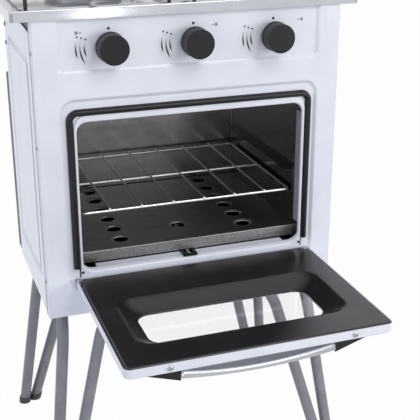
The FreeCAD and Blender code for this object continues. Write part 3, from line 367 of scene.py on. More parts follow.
def relief(tree, surface, size, height, stretch=(1, 1, 1), detail=2.0):
    """A bump of a real size and height, both in millimetres."""
    strength = grain(tree, size, stretch, detail)
    bump = add(tree, "ShaderNodeBump", {"Height": strength}, Distance=height * MM, Strength=1.0)
    tree.links.new(bump.outputs["Normal"], surface.inputs["Normal"])


def white_enamel(name, dark, light):
    # Vitreous enamel on sheet steel: glossy cool white with a faint orange peel
    material, tree, surface = finish(name, dark, roughness=0.22)
    tint(tree, surface, dark, light, size=60)
    relief(tree, surface, size=3.0, height=0.012)
    surface.inputs["IOR"].default_value = 1.5
    return material


def cover_paint():
    # Black stove paint on sheet steel: dull, slightly uneven
    material, tree, surface = finish("dark_stove_paint", "#4b4d52", roughness=0.5)
    speckle(tree, surface, size=5, low=0.42, high=0.6)
    tint(tree, surface, "#45474c", "#53555a", size=40)
    return material


def stainless(name, dark, light):
    # Polished stainless sheet: bright, with fine rolling lines along the width
    material, tree, surface = finish(name, dark, roughness=0.13, metallic=1.0)
    tint(tree, surface, dark, light, size=30)
    speckle(tree, surface, size=6, low=0.1, high=0.16, stretch=(0.06, 1, 1))
    return material


def oven_steel(name, dark, light, smooth, rough):
    # Aluminised steel: dull silver, darkened, with rolling streaks and fine spangle
    material, tree, surface = finish(name, light, smooth, metallic=1.0)
    tint(tree, surface, dark, light, size=14, detail=6.0)
    speckle(tree, surface, size=2.5, low=smooth, high=rough)
    return material


def chrome_wire():
    # Bright chromed wire
    material, tree, surface = finish("chromed_wire", "#e2e2e4", roughness=0.3, metallic=1.0)
    speckle(tree, surface, size=4, low=0.26, high=0.36)
    return material


def black_enamel():
    # Black vitreous enamel: glassy, with a slight orange peel
    material, tree, surface = finish("black_vitreous_enamel", "#211e1f", roughness=0.24)
    tint(tree, surface, "#242122", "#282526", size=60, detail=1.0)
    speckle(tree, surface, size=60, low=0.23, high=0.27, detail=1.0)
    surface.inputs["IOR"].default_value = 1.5
    return material


def cast_aluminium():
    # Die-cast aluminium, lightly blasted
    material, tree, surface = finish("cast_aluminium", "#b9babd", roughness=0.42, metallic=1.0)
    speckle(tree, surface, size=2, low=0.36, high=0.52)
    relief(tree, surface, size=0.9, height=0.03)
    return material


def plain_steel(name, colour):
    # Bright drawn or plated steel with fine lines
    material, tree, surface = finish(name, colour, roughness=0.3, metallic=1.0)
    speckle(tree, surface, size=3, low=0.24, high=0.38, stretch=(0.2, 1, 1))
    tint(tree, surface, colour, "#b4b4b8", size=12)
    return material


def brass():
    # Turned brass with fine tool marks
    material, tree, surface = finish("turned_brass", "#c9a75c", roughness=0.26, metallic=1.0)
    speckle(tree, surface, size=1.5, low=0.2, high=0.34, stretch=(1, 0.1, 1))
    tint(tree, surface, "#c19f55", "#d1b069", size=14)
    return material


def moulded_plastic(name, colour, light, roughness, gloss=0.5):
    # Moulded phenolic plastic with a fine matte grain
    material, tree, surface = finish(name, colour, roughness)
    surface.inputs["Specular IOR Level"].default_value = gloss
    tint(tree, surface, colour, light, size=18)
    speckle(tree, surface, size=1.2, low=roughness - 0.06, high=roughness + 0.08)
    relief(tree, surface, size=0.8, height=0.012)
    return material


def gasket_rubber():
    # Extruded silicone: dull black with a soft sheen
    material, tree, surface = finish("silicone_gasket", "#07080b", roughness=0.34)
    surface.inputs["Specular IOR Level"].default_value = 0.38
    speckle(tree, surface, size=3, low=0.3, high=0.4)
    return material


def glass():
    # Clear tempered glass, faintly uneven
    material, tree, surface = finish("tempered_glass", "#ffffff", roughness=0.02)
    surface.inputs["Transmission Weight"].default_value = 1.0
    surface.inputs["IOR"].default_value = 1.3
    speckle(tree, surface, size=30, low=0.0, high=0.03)
    return material


def leg_metal():
    # Grey powder coat on steel tube: satin with a fine texture
    material, tree, surface = finish("grey_powder_coat", "#85868c", roughness=0.38)
    tint(tree, surface, "#7f8086", "#8c8d93", size=25)
    speckle(tree, surface, size=2, low=0.32, high=0.46)
    relief(tree, surface, size=1.2, height=0.01)
    return material


def drawn_aluminium(name, dark, light, roughness):
    # Anodised aluminium drawn along its length: fine lines under a satin sheen
    material, tree, surface = finish(name, dark, roughness, metallic=1.0)
    tint(tree, surface, dark, light, size=20, stretch=(0.1, 1, 1))
    speckle(tree, surface, size=2, low=roughness - 0.05, high=roughness + 0.06, stretch=(0.03, 1, 1))
    return material


def bare_steel(name, dark, light, metallic):
    # Hot-dip galvanised sheet: matte grey with a sparkling grain, drawn coarser than it is so that it shows
    material, tree, surface = finish(name, dark, roughness=0.5, metallic=metallic)
    tint(tree, surface, dark, light, size=2.2, detail=8.0)
    speckle(tree, surface, size=3, low=0.42, high=0.6)
    relief(tree, surface, size=1.6, height=0.01)
    return material


def ink(name, colour):
    # Screen print fired on the enamel: flat grey, dark or pale
    material, tree, surface = finish(name, colour, roughness=0.35)
    speckle(tree, surface, size=4, low=0.3, high=0.42)
    return material


FINISHES = {
    "white_enamel": white_enamel("white_vitreous_enamel", "#e4e7f2", "#eaedf7"),
    "cover_paint": cover_paint(),
    "stainless": stainless("polished_stainless_sheet", "#c1c3cb", "#c7c9d0"),
    "oven_steel": oven_steel("aluminised_oven_steel", "#7f7d7d", "#8b8989", smooth=0.2, rough=0.25),
    "chrome_wire": chrome_wire(),
    "black_enamel": black_enamel(),
    "cast_aluminium": cast_aluminium(),
    "burner_steel": plain_steel("drawn_burner_tube", "#8f8f93"),
    "black_clip": moulded_plastic("blackened_spring_steel", "#08090a", "#0c0d0e", roughness=0.35, gloss=0.2),
    "gasket_rubber": gasket_rubber(),
    "supply_steel": plain_steel("zinc_plated_pipe", "#a3a4a8"),
    "brass": brass(),
    "knob_plastic": moulded_plastic("matte_knob_plastic", "#131416", "#16171a", roughness=0.5, gloss=0.3),
    "glass": glass(),
    "handle_metal": drawn_aluminium("anodised_aluminium", "#aeb0b6", "#bbbdc2", roughness=0.32),
    "handle_plastic": moulded_plastic(
        "matte_handle_plastic", "#151618", "#191a1c", roughness=0.46, gloss=0.3
    ),
    "leg_metal": leg_metal(),
    "foot_plastic": moulded_plastic("dark_foot_plastic", "#36373a", "#3c3d40", roughness=0.5),
    "zinc": plain_steel("zinc_plated_steel", "#a9aaae"),
}
BARE_STEEL = bare_steel("galvanised_sheet", "#7d7b7c", "#a19f9f", metallic=0.75)
COLLAR_STEEL = bare_steel("galvanised_strip", "#a19fa4", "#b3b1b6", metallic=0.1)
# Painted highlight: a brighter copy of the anodised aluminium for the handle bar's rounded upper front edge
HANDLE_EDGE_HIGHLIGHT_ALUMINIUM = drawn_aluminium("handle_edge_painted_highlight", "#e2e4e8", "#eceef2", roughness=0.26)
# Painted light: a lighter copy of the knob plastic, put on the knobs' sides to stand for the light that falls
# on them
KNOB_SIDE_LIGHT_PLASTIC = moulded_plastic("knob_side_painted_light", "#2b2c2f", "#303134", roughness=0.55, gloss=0.4)
# Painted shade: a darker copy of the anodised aluminium for the top of the handle bar
HANDLE_TOP_SHADE_ALUMINIUM = drawn_aluminium("handle_top_painted_shade", "#aaabac", "#b4b5b6", roughness=0.42)
BOWL_STEEL = drawn_aluminium("spun_steel_bowl", "#dcdcdc", "#e4e4e4", roughness=0.34)
# Painted shade: a darker copy of the stainless for the tray's upward faces
TRAY_TOP_SHADE_STAINLESS = stainless("tray_top_painted_shade", "#a2a4aa", "#aaacb2")
DULL_ZINC = bare_steel("dull_zinc_plate", "#5f6064", "#75767a", metallic=0.8)
# Painted shade: a greyer copy of the white enamel for the front groove of each side panel
GROOVE_SHADE_ENAMEL = white_enamel("groove_painted_shade_enamel", "#bfc0c6", "#c5c6cc")
FLOOR_STEEL = oven_steel("aluminised_floor_steel", "#949292", "#a09e9e", smooth=0.3, rough=0.36)
CUT_WIRE = drawn_aluminium("cut_wire_end", "#eeeef0", "#f6f6f8", roughness=0.6)
INK = ink("fired_print", "#131417")
FAINT_INK = ink("fired_pale_print", "#8b8d94")

for part in frame["record"]["subparts"]:
    surfaces = frame["nodes"][part["node"]].data.materials
    surfaces.clear()
    surfaces.append(FINISHES[part["material_slot"]])
for bowl in ("drip_bowl_left", "drip_bowl_right"):
    frame["nodes"][bowl].data.materials[0] = BOWL_STEEL


def span(node):
    """Corners of a CAD node in the drawing's millimetres."""
    low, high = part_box(node)
    return (low - ORIGIN) / MM, (high - ORIGIN) / MM


def piece(bm, name, slot, body, *nodes, wall=0.0, sharp=40, material=None, extra=()):
    """Turn a drawing into a finished piece that stands for CAD nodes and moves with a body."""
    bmesh.ops.scale(bm, vec=(MM, MM, MM), verts=bm.verts)
    bmesh.ops.translate(bm, vec=ORIGIN, verts=bm.verts)
    mesh = bpy.data.meshes.new(name)
    bm.to_mesh(mesh)
    bm.free()
    mesh.materials.append(material or FINISHES[slot])
    for other in extra:
        mesh.materials.append(other)
    mesh.shade_smooth()
    mesh.set_sharp_from_angle(angle=math.radians(sharp))
    item = bpy.data.objects.new(name, mesh)
    scene.collection.objects.link(item)
    if wall:
        thick = item.modifiers.new("wall", "SOLIDIFY")
        thick.thickness = wall * MM
        thick.offset = -1
        thick.use_even_offset = True
    even = item.modifiers.new("even_shading", "WEIGHTED_NORMAL")
    even.keep_sharp = True
    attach(item, body)
    if nodes:
        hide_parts(*nodes)
    return item


def slab(bm, low, high):
    """A block between two corners; gives its vertices."""
    low, high = Vector(low), Vector(high)
    cube = bmesh.ops.create_cube(bm, size=1.0)["verts"]
    bmesh.ops.scale(bm, vec=high - low, verts=cube)
    bmesh.ops.translate(bm, vec=(low + high) / 2, verts=cube)
    return cube


def edges_of(verts):
    """Edges that end at any of these vertices."""
    return list({edge for vert in verts for edge in vert.link_edges})


def soften(bm, edges, width, steps=BEVEL_STEPS):
    """Round edges off with a circular bevel."""
    return bmesh.ops.bevel(
        bm,
        geom=edges,
        offset=width,
        affect="EDGES",
        segments=steps,
        profile=0.5,
        material=-1,
        clamp_overlap=True,
    )


def strip(bm, low, high, edge=STRIP_EDGE):
    """A thin block with eased edges."""
    soften(bm, edges_of(slab(bm, low, high)), edge, EDGE_STEPS)


PLANES = {
    "xy": Matrix.Identity(4),
    "xz": Matrix(((1, 0, 0, 0), (0, 0, 1, 0), (0, 1, 0, 0), (0, 0, 0, 1))),
    "yz": Matrix(((0, 0, 1, 0), (1, 0, 0, 0), (0, 1, 0, 0), (0, 0, 0, 1))),
}


def outline(bm, plane, across, along, level, corner):
    """Edges of a rectangle with round corners at one level of a plane."""
    before = set(bm.faces)
    sheet = bmesh.ops.create_grid(bm, x_segments=1, y_segments=1, size=0.5)["verts"]
    bmesh.ops.scale(bm, vec=(across[1] - across[0], along[1] - along[0], 1), verts=sheet)
    bmesh.ops.translate(bm, vec=(sum(across) / 2, sum(along) / 2, level), verts=sheet)
    if corner:
        bmesh.ops.bevel(
            bm, geom=sheet, offset=corner, affect="VERTICES", segments=CORNER_STEPS, profile=0.5, material=-1
        )
    face = next(item for item in bm.faces if item not in before)
    bmesh.ops.transform(bm, matrix=PLANES[plane], verts=face.verts)
    edges = list(face.edges)
    bmesh.ops.delete(bm, geom=[face], context="FACES_ONLY")
    return edges


def ring(bm, radius, x, y, z, steps=ROUND_STEPS):
    """Edges of a level circle."""
    verts = bmesh.ops.create_circle(bm, segments=steps, radius=radius)["verts"]
    bmesh.ops.translate(bm, vec=(x, y, z), verts=verts)
    return edges_of(verts)


def bridged(bm, loops):
    """Join each outline to the next; gives the first and the last."""
    for first, second in zip(loops, loops[1:]):
        bmesh.ops.bridge_loops(bm, edges=first + second)
    return loops[0], loops[-1]


def pressed(bm, plane, across, along, corner, steps):
    """A surface through round-cornered outlines at (inset, level) steps; gives its first and last edges."""
    loops = []
    for inset, level in steps:
        spread = (across[0] + inset, across[1] - inset)
        length = (along[0] + inset, along[1] - inset)
        loops.append(outline(bm, plane, spread, length, level, corner - inset))
    return bridged(bm, loops)


def ease(t):
    """A run from 0 to 1 that starts and ends gently."""
    return t * t * (3 - 2 * t)


def soft_step(run, start, end, count=7):
    """(inset, level) steps of a smooth press line."""
    return [(run * i / count, start + (end - start) * ease(i / count)) for i in range(count + 1)]


def crisp_step(run, drop, count=8):
    """(inset, level) steps that bend away ever more steeply and end in a crisp corner."""
    return [(run * i / count, drop * (i / count) ** 2) for i in range(count + 1)]


def quarter(radius, inset, level, turn, count=5):
    """(inset, level) steps round a quarter bend: turn +1 rises to a flat, -1 sinks to it."""
    angles = [math.pi / 2 * i / count for i in range(count + 1)]
    return [(inset + radius * (1 - math.cos(a)), level + turn * radius * math.sin(a)) for a in angles]


def fill(bm, *loops):
    """Fill the flat area between outlines."""
    bmesh.ops.triangle_fill(bm, edges=[edge for loop in loops for edge in loop], use_beauty=True)


def face_towards(bm, direction):
    """Make an open sheet's faces agree and point one way on the whole."""
    bmesh.ops.remove_doubles(bm, verts=bm.verts, dist=MERGE)
    bmesh.ops.recalc_face_normals(bm, faces=bm.faces)
    total = sum((face.normal * face.calc_area() for face in bm.faces), Vector())
    if total.dot(Vector(direction)) < 0:
        bmesh.ops.reverse_faces(bm, faces=bm.faces)


def cut_away(bm, low, high):
    """Remove what lies inside a block."""
    for axis in range(3):
        normal = Vector((0, 0, 0))
        normal[axis] = 1
        for corner in (low, high):
            everything = list(bm.verts) + list(bm.edges) + list(bm.faces)
            bmesh.ops.bisect_plane(bm, geom=everything, plane_co=corner, plane_no=normal, dist=SLICE)
    inside = [
        face
        for face in bm.faces
        if all(low[i] < face.calc_center_median()[i] < high[i] for i in range(3))
    ]
    bmesh.ops.delete(bm, geom=inside, context="FACES")


def bent_tube(bm, points, bend, radius, closed=False, sides=TUBE_SIDES):
    """A round bar along straight runs with bends of one radius."""
    points = [Vector(p) for p in points]
    count = len(points)
    knots = []
    for index, corner in enumerate(points):
        if not closed and index in (0, count - 1):
            knots.append((corner, corner, corner))
            continue
        inward = (points[index - 1] - corner).normalized()
        outward = (points[(index + 1) % count] - corner).normalized()
        turn = math.pi - inward.angle(outward)
        reach = bend * math.tan(turn / 2)
        handle = bend * 4 / 3 * math.tan(turn / 4)
        entry = corner + inward * reach
        leave = corner + outward * reach
        knots.append((entry, entry, entry - inward * handle))
        knots.append((leave, leave - outward * handle, leave))
    curve = bpy.data.curves.new("route", "CURVE")
    curve.dimensions = "3D"
    curve.bevel_depth = radius
    curve.bevel_resolution = sides // 4
    curve.use_fill_caps = not closed
    curve.resolution_u = CURVE_STEPS
    spline = curve.splines.new("BEZIER")
    spline.bezier_points.add(len(knots) - 1)
    spline.use_cyclic_u = closed
    for knot, (place, left, right) in zip(spline.bezier_points, knots):
        knot.handle_left_type = "FREE"
        knot.handle_right_type = "FREE"
        knot.co = place
        knot.handle_left = left
        knot.handle_right = right
    route = bpy.data.objects.new("route", curve)
    scene.collection.objects.link(route)
    mesh = bpy.data.meshes.new_from_object(route.evaluated_get(bpy.context.evaluated_depsgraph_get()))
    bm.from_mesh(mesh)
    bpy.data.objects.remove(route)
    bpy.data.curves.remove(curve)
    bpy.data.meshes.remove(mesh)


SPIN_TURNS = {
    "z": Matrix.Identity(3),
    "y": Matrix.Rotation(math.pi / 2, 3, "X"),
    "x": Matrix.Rotation(math.pi / 2, 3, "Y"),
}


def turned(bm, profile, centre, axis="z", steps=ROUND_STEPS):
    """Spin (radius, height) points about an axis through a point; gives the new vertices."""
    before = set(bm.verts)
    verts = [bm.verts.new((r, 0, h)) for r, h in profile]
    edges = [bm.edges.new(pair) for pair in zip(verts, verts[1:])]
    bmesh.ops.spin(
        bm, geom=verts + edges, cent=(0, 0, 0), axis=(0, 0, 1), angle=math.tau, steps=steps, use_merge=True
    )
    made = [vert for vert in bm.verts if vert not in before]
    bmesh.ops.remove_doubles(bm, verts=made, dist=MERGE)
    made = [vert for vert in bm.verts if vert not in before]
    bmesh.ops.rotate(bm, cent=(0, 0, 0), matrix=SPIN_TURNS[axis], verts=made)
    bmesh.ops.translate(bm, vec=centre, verts=made)
    faces = list({face for vert in made for face in vert.link_faces})
    bmesh.ops.recalc_face_normals(bm, faces=faces)
    return made


def turned_in(radius, count=BEND_STEPS):
    """(inset, depth) steps round a quarter bend that turns in from a flat face."""
    angles = [math.pi / 2 * i / count for i in range(count + 1)]
    return [(radius * math.sin(a), radius * (1 - math.cos(a))) for a in angles]


def shape_sill(verts):
    """Deepen the opening's lower edge into a broad rounded sill with a shelf behind it."""
    for vert in verts:
        share = ease(min(1, max(0, (OPENING_LOW + OPENING_CORNER - vert.co.z) / OPENING_CORNER)))
        below = max(0, OPENING_LOW - vert.co.z)
        if vert.co.y > COLLAR_REAR - CLOSE:
            vert.co.y += (SHELF_FRONT + SHEET - COLLAR_REAR) * share
        else:
            vert.co.y += (vert.co.y - FRAME_FRONT) * (SILL_DEPTH - 1) * share
            vert.co.z -= below * (SILL_DROP - 1) * share


def make_front_panel():
    """Pressed front: control recess above, oven recess with its opening and collar below."""
    low, high = span("front_panel")
    bm = bmesh.new()
    above = high.z + TRIM_ABOVE
    rim = outline(bm, "xz", (low.x, high.x), (low.z, above), 0, 0)
    control, control_floor = pressed(
        bm,
        "xz",
        (-CONTROL_HALF, CONTROL_HALF),
        (CONTROL_LOW, high.z + TRIM_ABOVE / 2),
        CONTROL_CORNER,
        crisp_step(PRESS_RUN, CONTROL_STEP),
    )
    oven, oven_floor = pressed(
        bm,
        "xz",
        (-OVEN_STEP_HALF, OVEN_STEP_HALF),
        (OVEN_STEP_LOW, OVEN_STEP_HIGH),
        OVEN_STEP_CORNER,
        soft_step(OVEN_RUN, 0, OVEN_STEP),
    )
    outer_edge = [(0, OVEN_STEP), (0, FRAME_FRONT + FRAME_EDGE)]
    half_way = FRAME_EDGE * BEND_MIDDLE
    outer_edge += [(half_way, FRAME_FRONT + half_way), (FRAME_EDGE, FRAME_FRONT)]
    foot, face = pressed(
        bm,
        "xz",
        (-FRAME_HALF, FRAME_HALF),
        (FRAME_LOW, FRAME_HIGH),
        FRAME_CORNER,
        outer_edge,
    )
    bend = [(inset - OPENING_ROUND, FRAME_FRONT + level) for inset, level in turned_in(OPENING_ROUND)]
    before = set(bm.verts)
    mouth = pressed(
        bm,
        "xz",
        (-OPENING_HALF, OPENING_HALF),
        (OPENING_LOW, OPENING_HIGH),
        OPENING_CORNER,
        bend + [(0, COLLAR_REAR)],
    )[0]
    around_mouth = [vert for vert in bm.verts if vert not in before]
    for flat in ((rim, control, oven), (control_floor,), (oven_floor, foot), (face, mouth)):
        fill(bm, *flat)
    shape_sill(around_mouth)
    everything = list(bm.verts) + list(bm.edges) + list(bm.faces)
    bmesh.ops.bisect_plane(bm, geom=everything, plane_co=(0, 0, high.z), plane_no=(0, 0, 1), clear_outer=True)
    sides = [e for e in bm.edges if all(abs(abs(v.co.x) - high.x) < CLOSE for v in e.verts)]
    flange = bmesh.ops.extrude_edge_only(bm, edges=sides)["geom"]
    rear = [item for item in flange if isinstance(item, bmesh.types.BMVert)]
    bmesh.ops.translate(bm, vec=(0, FLANGE, 0), verts=rear)
    face_towards(bm, (0, -1, 0))
    bends = [
        e
        for e in bm.edges
        if all(abs(abs(v.co.x) - high.x) < CLOSE and abs(v.co.y) < CLOSE for v in e.verts)
    ]
    soften(bm, bends, FLANGE_BEND, BEND_STEPS)
    piece(bm, "front_panel_sheet", "white_enamel", "stove", "front_panel", wall=SHEET)


def groove(face, sign, count=12):
    """(inset, level) steps of the round groove that frames a side panel's field."""
    shares = [i / count for i in range(count + 1)]
    return [(FIELD_RUN * t, face - sign * FIELD_GROOVE * math.sin(math.pi * t) ** 2) for t in shares]


def make_side_panels():
    """Sides with a grooved field whose front groove is painted darker for shade, a notch, a grey strip of
    painted shadow along the front seam and a dark plate of painted shade behind the notch.
    """
    for side, sign in SIDES:
        low, high = span(side + "_side_panel")
        face = low.x if sign < 0 else high.x
        bm = bmesh.new()
        rim = outline(bm, "yz", (low.y, high.y), (low.z, high.z), face, 0)
        field, floor = pressed(
            bm,
            "yz",
            (FIELD_FRONT, FIELD_REAR),
            (FIELD_LOW, FIELD_HIGH),
            FIELD_CORNER,
            groove(face, sign),
        )
        corners = [(NOTCH_FRONT, NOTCH_LOW), (NOTCH_REAR, NOTCH_REAR_LOW)]
        corners += [(NOTCH_REAR, NOTCH_HIGH), (NOTCH_FRONT, NOTCH_HIGH)]
        tips = [bm.verts.new((face, y, z)) for y, z in corners]
        notch = [bm.edges.new(pair) for pair in zip(tips, tips[1:] + tips[:1])]
        fill(bm, rim, field, notch)
        fill(bm, floor)
        face_towards(bm, (sign, 0, 0))
        # Painted shade: the groove's upright faces near the front take the greyer enamel, for shade in the
        # groove
        for patch in bm.faces:
            in_groove = abs(patch.normal.x) < FIELD_SLOPE
            at_front = FLANGE + SHEET < patch.calc_center_median().y < FIELD_FRONT + FIELD_RUN
            upright = abs(patch.normal.z) < abs(patch.normal.y) / 2
            patch.material_index = int(in_groove and at_front and upright)
        name = side + "_side_sheet"
        piece(bm, name, "white_enamel", "stove", side + "_side_panel", wall=SHEET, extra=(GROOVE_SHADE_ENAMEL,))
        # Painted shadow: a grey strip along the seam, standing for the shadow in the gap between side and
        # front
        bm = bmesh.new()
        near, far = sorted((face - sign * SHEET / 2, face + sign * SEAM_PROUD))
        strip(bm, (near, FLANGE, low.z + SHEET), (far, FLANGE + SEAM_WIDE, high.z - SHEET))
        piece(bm, side + "_seam_shadow_strip", "zinc", "stove", material=COLLAR_STEEL)
        # Painted shade: a dark grey plate behind the notch, so that the notch shows grey shade
        bm = bmesh.new()
        near, far = sorted((face - sign * NOTCH_SHADE_DEEP, face - sign * (NOTCH_SHADE_DEEP + SHEET)))
        low_corner = (near, NOTCH_FRONT - NOTCH_SHADE_MARGIN, NOTCH_LOW - NOTCH_SHADE_MARGIN)
        high_corner = (far, NOTCH_REAR + NOTCH_SHADE_MARGIN, NOTCH_HIGH + NOTCH_SHADE_MARGIN)
        strip(bm, low_corner, high_corner)
        piece(bm, side + "_notch_shade_plate", "cover_paint", "stove")


def make_rear_cover():
    """Dark cover over the back, open in front and below."""
    low, high = span("rear_cover")
    bm = bmesh.new()
    slab(bm, low, (high.x, high.y, high.z - COVER_DROP))
    gone = [f for f in bm.faces if f.normal.y < -FACING or f.normal.z < -FACING]
    bmesh.ops.delete(bm, geom=gone, context="FACES")
    bends = [e for e in bm.edges if len(e.link_faces) == 2]
    soften(bm, bends, COVER_BEND)
    piece(bm, "rear_cover_sheet", "cover_paint", "stove", "rear_cover", wall=SHEET)


def make_tray():
    """Sunk tray with a turned-down rim that is open at its corners, and a tab behind each corner."""
    low, high = span("cooktop_tray")
    floor = span("drip_bowl_left")[0].z
    bm = bmesh.new()
    steps = [(0, low.z)] + quarter(TRAY_ROUND, 0, high.z - TRAY_ROUND, 1)
    drop = [
        (TRAY_RIM + inset, high.z - level)
        for inset, level in soft_step(TRAY_WALL_RUN, 0, high.z - floor)
    ]
    pan = pressed(bm, "xy", (low.x, high.x), (low.y, high.y), TRAY_CORNER, steps)[1]
    inner, sunk = pressed(
        bm,
        "xy",
        (low.x, high.x),
        (low.y, high.y),
        TRAY_RIM + TRAY_WALL_RUN + TRAY_CORNER,
        drop,
    )
    bmesh.ops.bridge_loops(bm, edges=pan + inner)
    holes = [ring(bm, TRAY_HOLE, sign * BURNER_X, BURNER_Y, floor) for sign in (-1, 1)]
    fill(bm, sunk, *holes)
    face_towards(bm, (0, 0, 1))
    seam_top = high.z - TRAY_SEAM_DROP
    tabs = bmesh.new()
    for sign in (-1, 1):
        for end in (low.y, high.y):
            near, far = sorted((sign * (high.x - TRAY_SEAM), sign * (high.x + LAP)))
            cut_away(bm, (near, end - LAP, low.z - LAP), (far, end + LAP, seam_top))
            near, far = sorted((sign * (high.x - TRAY_SEAM - LAP), sign * (high.x - TAB_THICK / 2)))
            inward = TAB_THICK if end < 0 else -TAB_THICK
            front, rear = sorted((end + inward, end + 2 * inward))
            strip(tabs, (near, front, low.z), (far, rear, seam_top - TRAY_GAP), TAB_EDGE)
    bm.normal_update()
    # Painted shade: the tray's upward faces take the darker stainless
    for face in bm.faces:
        face.material_index = int(face.normal.z > SQUARELY)
    piece(bm, "cooktop_sheet", "stainless", "stove", "cooktop_tray", wall=SHEET, extra=(TRAY_TOP_SHADE_STAINLESS,))
    piece(tabs, "cooktop_corner_tabs", "zinc", "stove", material=COLLAR_STEEL)


def make_burner_caps():
    """Flat caps with a rounded rim."""
    for side, sign in SIDES:
        low, high = span("burner_cap_" + side)
        radius = (high.x - low.x) / 2
        height = high.z - low.z
        centre = Vector((sign * BURNER_X, BURNER_Y))
        profile = [(0, 0), (radius, 0), (radius, height - CAP_SHOULDER)]
        profile += [(radius * CAP_FLAT, height), (0, height)]
        bm = bmesh.new()
        dome = turned(bm, profile, (centre.x, centre.y, low.z))
        rims = [
            e
            for e in edges_of(dome)
            if all(abs((v.co.xy - centre).length - radius) < CLOSE for v in e.verts)
            and abs(e.verts[0].co.z - e.verts[1].co.z) < CLOSE
        ]
        soften(bm, rims, CAP_ROUND)
        piece(bm, "burner_cap_dome_" + side, "black_enamel", "stove", "burner_cap_" + side, sharp=50)


def make_trivets():
    """Square wire frames on four legs, with four prongs that carry a pot."""
    for side, sign in SIDES:
        low, high = span("trivet_" + side)
        x = sign * BURNER_X
        bm = bmesh.new()
        corners = [(x - TRIVET_HALF, BURNER_Y - TRIVET_HALF), (x + TRIVET_HALF, BURNER_Y - TRIVET_HALF)]
        corners += [(x + TRIVET_HALF, BURNER_Y + TRIVET_HALF), (x - TRIVET_HALF, BURNER_Y + TRIVET_HALF)]
        bent_tube(bm, [(cx, cy, TRIVET_LEVEL) for cx, cy in corners], TRIVET_BEND, TRIVET_ROD, closed=True)
        foot = TRIVET_HALF - TRIVET_BEND * (1 - math.sqrt(0.5))
        tall = TRIVET_LEVEL - low.z
        leg = [(0, 0), (TRIVET_ROD - TRIVET_CHAMFER, 0), (TRIVET_ROD, TRIVET_CHAMFER)]
        leg += [(TRIVET_ROD, tall), (0, tall)]
        for sx in (-1, 1):
            for sy in (-1, 1):
                turned(bm, leg, (x + sx * foot, BURNER_Y + sy * foot, low.z), steps=SMALL_STEPS)
        for quarter_turn in range(4):
            prong = slab(
                bm,
                (TRIVET_HALF - PRONG_REACH, -PRONG_HALF, TRIVET_LEVEL - LAP),
                (TRIVET_HALF + TRIVET_ROD / 2, PRONG_HALF, high.z),
            )
            for vert in prong:
                if vert.co.x < TRIVET_HALF - PRONG_REACH + CLOSE and vert.co.z < TRIVET_LEVEL:
                    vert.co.x += PRONG_SLOPE
            soft = soften(bm, edges_of(prong), PRONG_ROUND, BLOCK_STEPS)
            verts = list({v for f in soft["faces"] for v in f.verts} | {v for v in prong if v.is_valid})
            turn = Matrix.Rotation(math.pi / 2 * quarter_turn, 3, "Z")
            bmesh.ops.rotate(bm, cent=(0, 0, 0), matrix=turn, verts=verts)
            bmesh.ops.translate(bm, vec=(x, BURNER_Y, 0), verts=verts)
        piece(bm, "trivet_bars_" + side, "black_enamel", "stove", "trivet_" + side)


def make_collar():
    """Steel strips inside the opening's upright edges, and the shelf behind the sill."""
    bm = bmesh.new()
    for sign in (-1, 1):
        inner, outer = sorted((sign * OPENING_HALF, sign * (OPENING_HALF + SHEET)))
        low = OPENING_LOW + 2 * OPENING_CORNER
        high = OPENING_HIGH - OPENING_CORNER
        strip(bm, (inner, COLLAR_REAR, low), (outer, SIDE_COLLAR_REAR, high))
    piece(bm, "oven_collar", "oven_steel", "stove", material=COLLAR_STEEL)
    bm = bmesh.new()
    strip(bm, (-SHELF_HALF, SHELF_FRONT, OPENING_LOW - SHEET), (SHELF_HALF, SHELF_REAR, OPENING_LOW))
    piece(bm, "oven_shelf", "white_enamel", "stove")


def make_liner():
    """The oven's walls, open in front."""
    low, high = span("oven_liner")
    wall = Vector((SHEET, 0, SHEET))
    bm = bmesh.new()
    slab(bm, low + wall, high - wall - Vector((0, SHEET, 0)))
    front = [f for f in bm.faces if f.normal.y < -FACING]
    bmesh.ops.delete(bm, geom=front, context="FACES")
    soften(bm, [e for e in bm.edges if len(e.link_faces) == 2], LINER_ROUND)
    bmesh.ops.reverse_faces(bm, faces=bm.faces)
    piece(bm, "oven_liner_sheet", "oven_steel", "stove", "oven_liner", wall=SHEET)


